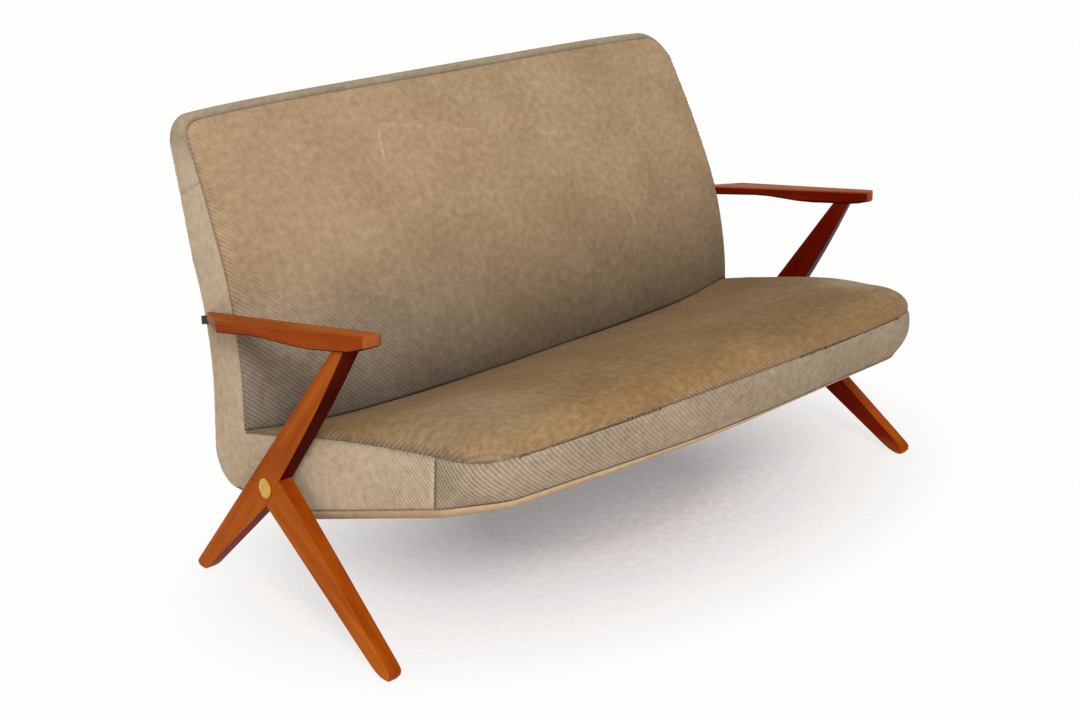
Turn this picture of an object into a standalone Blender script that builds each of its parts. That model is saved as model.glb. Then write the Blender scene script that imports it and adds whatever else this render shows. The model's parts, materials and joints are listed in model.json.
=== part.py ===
"""Two-seat lounge sofa: an upholstered L-shaped body bolted between two open teak side frames.

X runs along the sofa, the front faces -Y and Z is up; lengths are metres. The shapes are laid out
about the middle of the feet, and the root empty then centres the sofa on its own depth.
"""
import math

import bmesh
import bpy
from mathutils import Matrix, Vector

# Fits
GAP = 0.0003                # between pieces that touch
FOOT_GAP = 0.0012           # under the back, where it stands on the rounded edge of the seat
HOLE_PLAY = 0.0003          # added to the radius of every hole
FABRIC = 0.003              # cover cloth with its lining
CLOTH = 0.0015              # dust cloth
WEBBING = 0.003             # elastic webbing

# Upholstered body, seen from the side
BODY_LOW = 0.155            # lowest point of the body above the floor
REAR_ROUND = 0.066          # rounding of the rear lower corner
BORDER_ROUND = 0.012        # turned-under border along the lower edge
UNDER_BREAK = 0.017         # where the underside starts to rise towards the front
UNDER_EASE = 0.200          # last share of that rise, which levels out
FRONT_SEAM_HEIGHT = 0.272   # lower seam of the front band
SEAT_REAR_HEIGHT = 0.271    # top seam where the seat meets the back
SEAT_FRONT_HEIGHT = 0.355   # top seam at the front edge
SEAT_ARCH = 0.012           # how far the side seam rises above a straight line
BACK_FACE = 0.1765          # front of the back, where it stands on the seat
SEAT_DEPTH = 0.5455         # from the back to the front edge
BEND_HEIGHT = 0.300         # where the back starts to lean
BEND_RADIUS = 0.620
RECLINE = math.radians(26.2)
BACK_HEIGHT = 0.780         # front top seam of the back
BACK_THICK = 0.098
BACK_TOP_THICK = 0.062

# Upholstered body, seen from the front and from above
BODY_WIDTH = 1.202          # at the lowest point
SIDE_LEAN = 0.055           # how far a side moves in for each metre up
TAPER_START = 0.100         # the seat narrows from here to its front corners
SEAT_NARROWING = 0.050      # on each side
SEAT_CORNER = 0.102         # front corners, seen from above
CORNER_FILL = 0.009         # how far a front corner stands out beyond that round at its top seam
CORNER_TUCK = 0.006         # and how far it draws in at its lower seam
FRONT_BOW = 0.015
FRONT_SLANT = 0.012         # the front band draws in towards its lower seam
BACK_CORNER = 0.052         # top corners of the back
TOP_SEAM_DROP = 0.064       # the top band ends this far down the sides

# Padding
SEAT_PAD = 0.036            # below the top seam
SEAT_ROLL = 0.042           # width of the rounded edge of the seat
SEAT_ROLL_HEIGHT = 0.030
SEAT_CROWN = 0.004          # further rise behind that edge
SEAT_SAG = 0.055            # where the seat is hollow in front of the back
BAND_BULGE = 0.004
BACK_PAD = 0.038
BACK_PAD_TOP = 0.024
BACK_CROWN = 0.024
BACK_SWELL = 0.030          # extra fullness low in the back
SWELL_REACH = 0.240         # height over which that fullness dies out
TOP_CROWN = 0.016

# Inner beech frame
RAIL_THICK = 0.024
FRONT_RAIL_DEPTH = 0.040
REAR_RAIL_DEPTH = 0.042
STILE_THICK = 0.030
BACK_RAIL_HEIGHT = 0.050
MIDDLE_RAIL_DEPTH = 0.022
RAIL_CLEARANCE = 0.012      # top rail below the top band
RAIL_EASE = 0.002           # rounded ends of the top rail inside the band
BLOCK_LEG = 0.060
BLOCK_HEIGHT = 0.020
STRAP_WIDTH = 0.070         # and about the same between straps

# Side frames
SPACER = 0.0105             # between strut and body at the bolt
CAMBER = 0.095              # how far a frame moves out for each metre down
BOARD_THICK = 0.027
REAR_FOOT = 0.288           # rear edge of the rear foot
REAR_FOOT_WIDTH = 0.033
FRONT_FOOT = -0.301         # front edge of the front foot
FRONT_FOOT_WIDTH = 0.050
STRUT_LEAN = 0.800          # rear edge of the strut, forward for each metre up
STRUT_TOP_WIDTH = 0.025     # under the armrest, on the outer face
STRUT_INNER_WIDTH = 0.034   # and on the inner face
STRUT_BELLY = 0.010
KNEE_Y = 0.066              # lower end of the joint between leg and strut
KNEE_HEIGHT = 0.181
JOINT_LENGTH = 0.067
REAR_FOOT_ROUND = 0.010
FRONT_FOOT_ROUND = 0.013
HEEL_ROUND = 0.004          # inner corners of the soles
EDGE_ROUND = 0.004

# Armrests
ARM_HEIGHT = 0.503          # top, above the middle of the feet
ARM_FALL = 0.162            # towards the back, for each metre
ARM_REAR = 0.283
ARM_REAR_SKEW = 0.108       # the rear end is cut this far aslant
ARM_TIP_REACH = 0.102       # from the middle of the strut's top to the tip
ARM_TIP_SKEW = 0.020
ARM_REAR_WIDTH = 0.054
ARM_TIP_WIDTH = 0.029
ARM_REAR_DEPTH = 0.018
ARM_JOINT_DEPTH = 0.030
ARM_TIP_DEPTH = 0.0175
ARM_INNER_RISE = 0.006      # over the strut the underside rises towards the inner edge
ARM_JOINT_HALF = 0.048      # flat length of the underside, to each side of the strut
ARM_SWELL = 0.150           # length over which the armrest thins behind that
ARM_STEPS = 4
ARM_ROUND = 0.0035

# Metal parts and dowels
BOLT_Y = 0.068
BOLT_HEIGHT = 0.213
BOLT_RADIUS = 0.004
BOLT_SPARE = 0.004          # past the nut
BOLT_HEAD_RADIUS = 0.017
BOLT_HEAD_RIM = 0.0015
BOLT_HEAD_DOME = 0.0015
WASHER_RADIUS = 0.011
WASHER_THICK = 0.0016
NUT_RADIUS = 0.0075
NUT_THICK = 0.0065
SPACER_RADIUS = 0.012
DOWEL_RADIUS = 0.004
DOWEL_DEPTH = 0.022
FRONT_DOWEL_DEPTH = 0.014
ARM_DOWEL_RADIUS = 0.0035
ARM_DOWEL_DEPTH = 0.013
LEG_DOWEL_SPACING = 0.040
PLATE_THICK = 0.0036        # bracket between armrest and back, at the rear end
PLATE_HEIGHT = 0.015
PLATE_DROP = 0.0085         # its middle below the top of the armrest, at its front end
PLATE_TILT = 0.120          # and further down for each metre back
PLATE_REACH = 0.067         # along the armrest
PLATE_TAIL = 0.016          # past the rear end of the armrest
PIN_RADIUS = 0.0018
PIN_DEPTH = 0.014
PIN_INSET = 0.012           # pin in the back, from the rear end of the armrest

ROUND_STEPS = 12
CORNER_STEPS = 6
BEND_STEPS = 6
STRAIGHT_STEPS = 3
COLUMNS = 6
ROUNDED_ANGLE = math.radians(40.0)

# Values that follow from the sizes above
FRONT_Y = BACK_FACE - SEAT_DEPTH
CORNER_Y = FRONT_Y + SEAT_CORNER
LOWER_SEAM = BODY_LOW + BORDER_ROUND
REAR_Y = BACK_FACE + BACK_THICK
ROUND_Y = REAR_Y - REAR_ROUND
ROUND_Z = BODY_LOW + REAR_ROUND
BEND_LENGTH = BEND_RADIUS * RECLINE
BEND_TOP = BEND_HEIGHT + BEND_RADIUS * math.sin(RECLINE)
BACK_LENGTH = BEND_LENGTH + (BACK_HEIGHT - BEND_TOP) / math.cos(RECLINE)
SIDE_TOP = BACK_LENGTH - BACK_CORNER - TOP_SEAM_DROP
RAIL_TURN = math.pi / 3     # the seat side rails follow the rear corner this far
LINER = FABRIC + GAP
STRAP_BACK = GAP + WEBBING + GAP

MATERIALS = {
    "teak": ((0.36, 0.12, 0.035), 0.38, 0.0),
    "beech": ((0.62, 0.44, 0.27), 0.60, 0.0),
    "twill": ((0.36, 0.28, 0.19), 0.95, 0.0),
    "foam": ((0.78, 0.70, 0.45), 0.95, 0.0),
    "webbing": ((0.20, 0.15, 0.10), 0.85, 0.0),
    "dust_cloth": ((0.10, 0.09, 0.08), 0.95, 0.0),
    "brass": ((0.62, 0.44, 0.14), 0.40, 1.0),
    "steel": ((0.30, 0.29, 0.28), 0.45, 1.0),
}


def lerp(a, b, t):
    return a + (b - a) * t


def clamp(value):
    return min(1.0, max(0.0, value))


def steps(a, b, count):
    """The count + 1 values from a to b."""
    return [lerp(a, b, k / count) for k in range(count + 1)]


def smooth(t):
    t = clamp(t)
    return t * t * (3.0 - 2.0 * t)


# Surfaces of the upholstered body

def side_x(y, z):
    """Half width of the body's outer side."""
    narrowing = SEAT_NARROWING * max(0.0, TAPER_START - y) / (TAPER_START - CORNER_Y)
    return BODY_WIDTH / 2 - SIDE_LEAN * (z - BODY_LOW) - narrowing


def seam_z(y):
    """Top seam of the seat along its sides."""
    t = (BACK_FACE - y) / SEAT_DEPTH
    return lerp(SEAT_REAR_HEIGHT, SEAT_FRONT_HEIGHT, t) + SEAT_ARCH * 4.0 * t * (1.0 - t)


def under_z(y):
    """Lower seam of the seat, which levels out round the front corners."""
    left = clamp((y - FRONT_Y) / (UNDER_BREAK - FRONT_Y))
    fall = left ** 2 / (2.0 * UNDER_EASE) if left < UNDER_EASE else left - UNDER_EASE / 2
    return lerp(FRONT_SEAM_HEIGHT, LOWER_SEAM, fall / (1.0 - UNDER_EASE / 2))


def seat_ys(rear):
    """Rows from the back to the front corners, with one at each break in the sides."""
    return (steps(rear, TAPER_START, 2) + steps(TAPER_START, UNDER_BREAK, 2)[1:]
            + steps(UNDER_BREAK, CORNER_Y, 5)[1:])


def corner_x(z):
    """Middle of the front corner's rounding."""
    return side_x(CORNER_Y, z) - SEAT_CORNER


def corner_radius(turn, inset, slant, share):
    """Radius of a front corner at a share of the front band's height, from its top seam down."""
    fill = lerp(CORNER_FILL, -CORNER_TUCK, share) * math.sin(2.0 * turn) ** 2
    return SEAT_CORNER - inset - slant * math.sin(turn) + fill


def seat_top(x, y):
    """Height of the seat, round along its edges and hollow in front of the back."""
    half = side_x(max(y, CORNER_Y), seam_z(max(y, CORNER_Y)))
    bow = FRONT_BOW * max(0.0, 1.0 - (x / corner_x(seam_z(CORNER_Y))) ** 2)
    out_x = max(0.0, SEAT_CORNER - half + abs(x))
    out_y = max(0.0, SEAT_CORNER - bow - y + FRONT_Y)
    limit = corner_radius(math.atan2(out_y, out_x), 0.0, 0.0, 0.0)
    inward = max(0.0, limit - math.hypot(out_x, out_y))
    roll = 1.0 - clamp(inward / SEAT_ROLL)
    crown = SEAT_ROLL_HEIGHT * math.sqrt(1.0 - roll ** 2) + SEAT_CROWN * smooth(inward / SEAT_CORNER)
    t = clamp((BACK_FACE - y) / (SEAT_DEPTH + bow))
    edge = min(1.0, abs(x) / half)
    return seam_z(y) + crown - SEAT_SAG * (1.0 - edge ** 3) * (1.0 - t) ** 2


def pad_bottom(y):
    return seam_z(y) - SEAT_PAD


def rail_top(y):
    return pad_bottom(y) - STRAP_BACK


def back_yz(s, depth):
    """Point at arc length s above the bend's start, depth behind the front of the back."""
    turn = min(max(s, 0.0), BEND_LENGTH) / BEND_RADIUS
    y = BACK_FACE + BEND_RADIUS * (1.0 - math.cos(turn))
    z = BEND_HEIGHT + BEND_RADIUS * math.sin(turn) + min(s, 0.0)
    rest = max(0.0, s - BEND_LENGTH)
    y += rest * math.sin(turn) + depth * math.cos(turn)
    z += rest * math.cos(turn) - depth * math.sin(turn)
    return y, z


def back_thick(s):
    return lerp(BACK_THICK, BACK_TOP_THICK, clamp((s - BEND_LENGTH) / (BACK_LENGTH - BEND_LENGTH)))


def back_pad(s):
    return lerp(BACK_PAD, BACK_PAD_TOP, clamp(s / BACK_LENGTH))


def back_half(s, depth, inset=0.0):
    """Half width of the back, with its rounded top corners."""
    side = side_x(*back_yz(s, depth))
    rise = s - (BACK_LENGTH - BACK_CORNER)
    if rise <= 0.0:
        return side - inset
    return side - BACK_CORNER + math.sqrt(max(0.0, (BACK_CORNER - inset) ** 2 - rise ** 2))


def back_bulge(u, s):
    """How far the front of the back stands out, u from -1 to 1 across it."""
    top = 1.0 - clamp(s / BACK_LENGTH) ** 8
    low = BACK_SWELL * (1.0 - smooth((s + BEND_HEIGHT - SEAT_REAR_HEIGHT) / SWELL_REACH))
    return (BACK_CROWN * top + low) * (1.0 - abs(u) ** 4)


def back_point(u, s, depth, inset=0.0):
    y, z = back_yz(s, depth)
    return Vector((u * back_half(s, max(0.0, depth), inset), y, z))


def back_start(u, inset):
    """Arc length at which the front of the back stands on the seat."""
    low = SEAT_REAR_HEIGHT - BEND_HEIGHT
    x = u * back_half(low, 0.0, inset)
    return seat_top(x, BACK_FACE - back_bulge(u, low)) + FOOT_GAP - BEND_HEIGHT


def side_levels():
    """Arc lengths of the rows up the sides of the back, to the seam of the top band."""
    return steps(0.0, BEND_LENGTH, BEND_STEPS) + steps(BEND_LENGTH, SIDE_TOP, STRAIGHT_STEPS)[1:]


def back_levels(start, inset):
    """Arc lengths of the rows up the whole back, closer together in the rounded corners."""
    rows = steps(start, 0.0, 2)[:-1] + side_levels() + [BACK_LENGTH - BACK_CORNER]
    for k in range(1, CORNER_STEPS + 1):
        turn = math.pi / 2 * k / CORNER_STEPS
        rows.append(BACK_LENGTH - BACK_CORNER + (BACK_CORNER - inset) * math.sin(turn))
    return rows


def across():
    """Columns from side to side, closer together at the edges."""
    return [math.sin(math.pi / 2 * k / COLUMNS) for k in range(-COLUMNS, COLUMNS + 1)]


# Mesh builders

def loft(loops, closed=False):
    """A solid through loops of points: capped at both ends, or closed to a ring."""
    bm = bmesh.new()
    rings = [[bm.verts.new(p) for p in loop] for loop in loops]
    pairs = list(zip(rings, rings[1:]))
    if closed:
        pairs.append((rings[-1], rings[0]))
    else:
        bm.faces.new(rings[0])
        bm.faces.new(rings[-1])
    for a, b in pairs:
        for k in range(len(a)):
            n = (k + 1) % len(a)
            bm.faces.new((a[k], a[n], b[n], b[k]))
    bmesh.ops.recalc_face_normals(bm, faces=bm.faces)
    return bm


def slab(outer, inner):
    """A solid between two grids of points."""
    bm = bmesh.new()
    rims = []
    for grid in (outer, inner):
        verts = [[bm.verts.new(p) for p in row] for row in grid]
        for low, high in zip(verts, verts[1:]):
            for j in range(len(low) - 1):
                bm.faces.new((low[j], low[j + 1], high[j + 1], high[j]))
        right = [row[-1] for row in verts[1:-1]]
        left = [row[0] for row in verts[-2:0:-1]]
        rims.append(verts[0] + right + verts[-1][::-1] + left)
    count = len(rims[0])
    for k in range(count):
        n = (k + 1) % count
        bm.faces.new((rims[0][k], rims[0][n], rims[1][n], rims[1][k]))
    bmesh.ops.recalc_face_normals(bm, faces=bm.faces)
    return bm


def circle(middle, axis, radius, count=ROUND_STEPS):
    turn = axis.to_track_quat("Z", "Y")
    angles = [2.0 * math.pi * k / count for k in range(count)]
    return [middle + turn @ Vector((radius * math.cos(a), radius * math.sin(a), 0.0)) for a in angles]


def rod(start, end, radius):
    axis = (end - start).normalized()
    return loft([circle(start, axis, radius), circle(end, axis, radius)])


def join(parts):
    """Several solids in one mesh, to cut with."""
    whole = bmesh.new()
    for part in parts:
        mesh = bpy.data.meshes.new("joined")
        part.to_mesh(mesh)
        part.free()
        whole.from_mesh(mesh)
        bpy.data.meshes.remove(mesh)
    return whole


def rounded(corners, count=4):
    """An outline of (y, z, radius) corners with its round ones as arcs."""
    points = []
    for k, (y, z, radius) in enumerate(corners):
        here = Vector((y, z))
        back = (Vector(corners[k - 1][:2]) - here).normalized()
        ahead = (Vector(corners[(k + 1) % len(corners)][:2]) - here).normalized()
        if radius == 0.0:
            points.append(here)
            continue
        half = back.angle(ahead) / 2
        middle = here + (back + ahead).normalized() * radius / math.sin(half)
        start = (here + back * radius / math.tan(half) - middle).normalized()
        end = (here + ahead * radius / math.tan(half) - middle).normalized()
        points += [middle + radius * start.slerp(end, t) for t in steps(0.0, 1.0, count)]
    return points


class Sofa:
    """Collects the pieces under one root."""

    def __init__(self):
        for old in list(bpy.data.objects):
            bpy.data.objects.remove(old, do_unlink=True)
        self.root = bpy.data.objects.new("sofa", None)
        bpy.context.scene.collection.objects.link(self.root)
        self.materials = {}
        for name, (colour, roughness, metallic) in MATERIALS.items():
            material = bpy.data.materials.new(name)
            material.use_nodes = True
            shader = material.node_tree.nodes["Principled BSDF"]
            shader.inputs["Base Color"].default_value = (*colour, 1.0)
            shader.inputs["Roughness"].default_value = roughness
            shader.inputs["Metallic"].default_value = metallic
            self.materials[name] = material

    def link(self, name, bm, side):
        """An object of the mesh; a left-hand one is the mirror image of what was drawn."""
        if side < 0:
            bmesh.ops.transform(bm, matrix=Matrix.Diagonal((-1.0, 1.0, 1.0, 1.0)), verts=bm.verts)
            bmesh.ops.reverse_faces(bm, faces=bm.faces)
        mesh = bpy.data.meshes.new(name)
        bm.to_mesh(mesh)
        bm.free()
        piece = bpy.data.objects.new(name, mesh)
        piece.parent = self.root
        bpy.context.scene.collection.objects.link(piece)
        return piece

    def add(self, name, bm, material, side=1, edge=0.0, holes=()):
        piece = self.link(name, bm, side)
        piece.data.materials.append(self.materials[material])
        piece.data.shade_smooth()
        piece.data.set_sharp_from_angle(angle=math.radians(35.0))
        if edge:
            bevel = piece.modifiers.new("soft_edges", "BEVEL")
            bevel.width = edge
            bevel.segments = 2
            bevel.limit_method = "WEIGHT"
        if holes:
            bores = [rod(start, end, radius + HOLE_PLAY) for start, end, radius in holes]
            cutter = self.link(name + "_cutter", join(bores), side)
            cutter.hide_render = True
            cutter.display_type = "WIRE"
            cut = piece.modifiers.new("holes", "BOOLEAN")
            cut.object = cutter
        return piece

    def centre(self):
        """Puts the origin under the middle of the sofa's depth."""
        reach = [v.co.y for o in self.root.children if not o.hide_render for v in o.data.vertices]
        self.root.location.y = -(min(reach) + max(reach)) / 2


SIDES = (("left", -1), ("right", 1))


# Seat upholstery

def seat_rows(inset, slant=0.0, height=seam_z, rear=BACK_FACE - GAP, share=0.0):
    """Half width and depth of each row of the seat, from the back to the front edge."""
    rows = [(side_x(y, height(y)) - inset, y) for y in seat_ys(rear)[:-1]]
    for k in range(CORNER_STEPS + 1):
        turn = math.pi / 2 * k / CORNER_STEPS
        radius = corner_radius(turn, inset, slant, share)
        rows.append((corner_x(height(CORNER_Y)) + radius * math.cos(turn), CORNER_Y - radius * math.sin(turn)))
    return rows


def seat_grid(rows, height):
    grid = []
    front = rows[-1][1]
    for half, y in rows:
        bow = FRONT_BOW * max(0.0, (BACK_FACE - y) / (BACK_FACE - front)) ** 3
        line = [(u * half, y - bow * (1.0 - u * u)) for u in across()]
        grid.append([Vector((x, y_bowed, height(x, y_bowed))) for x, y_bowed in line])
    return grid


def band_slant(t):
    """How far the front band has drawn in at a share t of its height."""
    return FRONT_SLANT * t - BAND_BULGE * 4.0 * t * (1.0 - t)


def front_path(z, inset, slant, share):
    """Plan of the front edge, from the left corner seam round to the right one."""
    middle = corner_x(z)
    corner = []
    for k in range(CORNER_STEPS + 1):
        turn = math.pi / 2 * k / CORNER_STEPS
        radius = corner_radius(turn, inset, slant, share)
        corner.append((middle + radius * math.cos(turn), CORNER_Y - radius * math.sin(turn)))
    front = corner[-1][1]
    edge = [(u * middle, front - FRONT_BOW * (1.0 - u * u)) for u in across()[1:-1]]
    return [(-x, y) for x, y in corner] + edge + corner[::-1]


def border_path(inset, slant):
    """Plan of the lower edge: along one side, round the front and back along the other."""
    side = [(side_x(y, under_z(y)) - inset, y) for y in seat_ys(ROUND_Y - GAP)[:-1]]
    return [(-x, y) for x, y in side] + front_path(under_z(CORNER_Y), inset, slant, 1.0) + side[::-1]


def make_seat(sofa):
    cover = seat_grid(seat_rows(0.0), seat_top)
    lining = [[p - Vector((0.0, 0.0, FABRIC)) for p in row] for row in cover]
    sofa.add("seat_top_cover", slab(cover, lining), "twill")

    padding = seat_grid(seat_rows(LINER), seat_top)
    for row, row_above in zip(padding, cover):
        for point, above in zip(row, row_above):
            point.z = min(point.z, above.z) - LINER - GAP
    share = SEAT_PAD / (SEAT_FRONT_HEIGHT - FRONT_SEAM_HEIGHT)
    drawn_in = max(0.0, band_slant(share)) + FABRIC / 2
    base = seat_grid(seat_rows(LINER + FABRIC / 2, drawn_in, share=share), lambda x, y: pad_bottom(y))
    sofa.add("seat_padding", slab(padding, base), "foam")

    seam = front_path(seam_z(CORNER_Y), 0.0, 0.0, 0.0)
    tops = [seat_top(x, y) - LINER for x, y in seam]
    band = []
    for depth in (0.0, FABRIC):
        grid = []
        for t in steps(0.0, 1.0, 3):
            height = lerp(seam_z(CORNER_Y), under_z(CORNER_Y), t)
            path = front_path(height, depth, band_slant(t), t)
            grid.append([Vector((x, y, lerp(top, under_z(y) + GAP, t)))
                         for (x, y), top in zip(path, tops)])
        band.append(grid)
    sofa.add("front_band", slab(*band), "twill")

    border = []
    for radius in (BORDER_ROUND, BORDER_ROUND - FABRIC):
        grid = []
        for turn in steps(0.0, math.pi / 2, 3):
            path = border_path(BORDER_ROUND - radius * math.cos(turn), FRONT_SLANT)
            drop = GAP + radius * math.sin(turn)
            grid.append([Vector((x, y, under_z(y) - drop)) for x, y in path])
        border.append(grid)
    sofa.add("lower_border", slab(*border), "twill")

    rows = seat_rows(BORDER_ROUND + GAP, FRONT_SLANT, under_z, ROUND_Y - GAP, 1.0)
    low = seat_grid(rows, lambda x, y: under_z(y) - BORDER_ROUND)
    high = [[p + Vector((0.0, 0.0, CLOTH)) for p in row] for row in low]
    sofa.add("dust_cloth", slab(low, high), "dust_cloth")


# Back upholstery

def back_grid(depth, inset):
    """A layer of the back's front, at the depth given for each (u, s)."""
    columns = []
    for u in across():
        levels = back_levels(back_start(u, inset), inset)
        columns.append([back_point(u, s, depth(u, s), inset) for s in levels])
    return list(zip(*columns))


def rear_rows(depth):
    """Rear profile with its half width: down the back and round the lower corner."""
    rows = []
    for s in reversed(back_levels(ROUND_Z - BEND_HEIGHT, 0.0)):
        rows.append((back_half(s, back_thick(s)), *back_yz(s, back_thick(s) - depth)))
    for k in range(1, CORNER_STEPS + 1):
        turn = math.pi / 2 * k / CORNER_STEPS
        y = ROUND_Y + (REAR_ROUND - depth) * math.cos(turn)
        z = ROUND_Z - (REAR_ROUND - depth) * math.sin(turn)
        rows.append((side_x(y, z), y, z))
    return rows


def top_band_grid(depth):
    """Band over the top of the back, from one side seam round to the other."""
    path = [(1.0, SIDE_TOP, 0.0), (1.0, BACK_LENGTH - BACK_CORNER, 0.0)]
    path += [(1.0, BACK_LENGTH - BACK_CORNER, math.pi / 2 * k / CORNER_STEPS) for k in range(1, CORNER_STEPS)]
    path += [(u, BACK_LENGTH - BACK_CORNER, math.pi / 2) for u in (1.0, 0.5, 0.0)]
    path += [(-u, s, turn) for u, s, turn in path[-2::-1]]
    grid = []
    for u, s, turn in path:
        side = 1.0 if u > 0.0 else -1.0
        row = []
        for t in steps(0.0, 1.0, 4):
            radius = BACK_CORNER - depth + TOP_CROWN * math.sin(turn) * 4.0 * t * (1.0 - t)
            level = s + radius * math.sin(turn)
            y, z = back_yz(level, lerp(LINER, back_thick(level) - LINER, t))
            middle = side_x(y, z) - BACK_CORNER
            x = side * (middle + radius * math.cos(turn)) if turn < math.pi / 2 else u * middle
            row.append(Vector((x, y, z)))
        grid.append(row)
    return grid


def panel_edges():
    """Inner and outer edge of the L-shaped side panel, from the front corner to the top seam."""
    inner = [(y, seam_z(y) - LINER) for y in reversed(seat_ys(BACK_FACE + LINER))]
    outer = [(y, under_z(y) + GAP) for y in reversed(seat_ys(ROUND_Y))]
    inner[0] = (inner[0][0] + GAP, inner[0][1])
    outer[0] = (outer[0][0] + GAP, outer[0][1])
    foot = inner[-1][1] - BEND_HEIGHT
    for k in range(CORNER_STEPS + 1):
        turn = math.pi / 2 * k / CORNER_STEPS
        radius = REAR_ROUND - LINER
        outer.append((ROUND_Y + radius * math.sin(turn), ROUND_Z - radius * math.cos(turn)))
        inner.append(back_yz(lerp(foot, 0.0, (k + 1) / (CORNER_STEPS + 2)), LINER))
    for s in side_levels()[:-1] + [SIDE_TOP - GAP]:
        inner.append(back_yz(s, LINER))
        outer.append(back_yz(s, back_thick(s) - LINER))
    return inner, outer


def make_back(sofa):
    face = back_grid(lambda u, s: -back_bulge(u, s), 0.0)
    lining = back_grid(lambda u, s: FABRIC - back_bulge(u, s), 0.0)
    sofa.add("back_front_cover", slab(face, lining), "twill")
    padding = back_grid(lambda u, s: LINER - back_bulge(u, s), LINER)
    rear = back_grid(lambda u, s: LINER + back_pad(s), LINER)
    sofa.add("back_padding", slab(padding, rear), "foam")

    layers = []
    for depth in (0.0, FABRIC):
        layers.append([[Vector((u * half, y, z)) for u in steps(-1.0, 1.0, 2)]
                       for half, y, z in rear_rows(depth)])
    sofa.add("outside_back_cover", slab(*layers), "twill")
    sofa.add("back_top_band", slab(top_band_grid(0.0), top_band_grid(FABRIC)), "twill")

    inner, outer = panel_edges()
    layers = []
    for depth in (0.0, FABRIC):
        layers.append([[Vector((side_x(y, z) - depth, y, z)) for y, z in pair] for pair in zip(inner, outer)])
    for name, side in SIDES:
        sofa.add("side_panel_" + name, slab(*layers), "twill", side, holes=[bolt_hole(), back_pin()])


# Inner frame

def rail_end(y, z, inset):
    return side_x(y, z) - LINER - inset


def cross_piece(section, inset):
    """A rail from side to side through a section of (y, z) points."""
    ends = []
    for side in (-1, 1):
        ends.append([Vector((side * rail_end(y, z, inset), y, z)) for y, z in section])
    return loft(ends)


def back_section(low, high, front):
    """Section of a back rail, front behind the webbing, up to the outside cover."""
    face = [back_yz(s, LINER + back_pad(s) + STRAP_BACK + front) for s in (low, high)]
    rear = [back_yz(s, back_thick(s) - LINER) for s in (high, low)]
    return face + rear


def side_rail_rows():
    """Top and bottom of the seat side rail, bottom rounded under the stile."""
    rows = [[(y, rail_top(y)), (y, under_z(y) + GAP)] for y in reversed(seat_ys(ROUND_Y))]
    for turn in steps(0.0, RAIL_TURN, 4)[1:]:
        y = ROUND_Y + (REAR_ROUND - LINER) * math.sin(turn)
        z = ROUND_Z - (REAR_ROUND - LINER) * math.cos(turn)
        rows.append([(y, rail_top(y)), (y, max(z, under_z(y) + GAP))])
    return rows


def stile_rows():
    front = back_section(0.0, 0.0, 0.0)[0][0]
    rear = ROUND_Y + (REAR_ROUND - LINER) * math.sin(RAIL_TURN)
    rows = [[(y, rail_top(y) + GAP) for y in (front, rear)]]
    for s in side_levels() + [BACK_LENGTH - BACK_CORNER]:
        face, _, rear, _ = back_section(s, s, 0.0)
        rows.append([face, rear])
    return rows


def rail_slab(rows, thick):
    layers = []
    for depth in (0.0, thick):
        layers.append([[Vector((rail_end(y, z, depth), y, z)) for y, z in row] for row in rows])
    return slab(*layers)


def front_dowel():
    """Dowel between side rail and front rail."""
    z = (rail_top(CORNER_Y) + under_z(CORNER_Y)) / 2
    x = rail_end(CORNER_Y, z, RAIL_THICK - 2.0 * DOWEL_RADIUS)
    ends = [Vector((x, CORNER_Y + d, z)) for d in (-FRONT_DOWEL_DEPTH, FRONT_DOWEL_DEPTH)]
    return *ends, DOWEL_RADIUS


def stile_dowel():
    """Dowel between side rail and stile."""
    y = ROUND_Y + (REAR_ROUND - LINER) * math.sin(RAIL_TURN / 2)
    z = rail_top(y)
    x = rail_end(y, z, RAIL_THICK / 2)
    return Vector((x, y, z - DOWEL_DEPTH)), Vector((x, y, z + DOWEL_DEPTH)), DOWEL_RADIUS


def top_dowel():
    """Dowel between stile and top rail."""
    level = BACK_LENGTH - BACK_CORNER
    depth = (LINER + back_pad(level) + STRAP_BACK + back_thick(level) - LINER) / 2
    ends = [back_yz(level + d, depth) for d in (-DOWEL_DEPTH, DOWEL_DEPTH)]
    x = rail_end(*back_yz(level, depth), STILE_THICK / 2)
    return Vector((x, *ends[0])), Vector((x, *ends[1])), DOWEL_RADIUS


def both_sides(hole):
    start, end, radius = hole
    mirror = Vector((-1.0, 1.0, 1.0))
    return [hole, (start * mirror, end * mirror, radius)]


def shorter(hole):
    """The dowel in its hole, clear of both ends."""
    start, end, radius = hole
    trim = (end - start).normalized() * GAP
    return rod(start + trim, end - trim, radius)


def longer(hole):
    """The hole of a pin, cut clear through the face that it starts in."""
    start, end, radius = hole
    return start - (end - start).normalized() * PIN_RADIUS, end, radius


def top_rail_grid(depth):
    level = BACK_LENGTH - BACK_CORNER + GAP
    grid = []
    for s in steps(level, BACK_LENGTH - RAIL_CLEARANCE, 4):
        y, z = back_yz(s, depth(s))
        half = back_half(s, depth(s), LINER + RAIL_EASE)
        grid.append([Vector((u * half, y, z)) for u in (-1.0, 0.0, 1.0)])
    return grid


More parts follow.
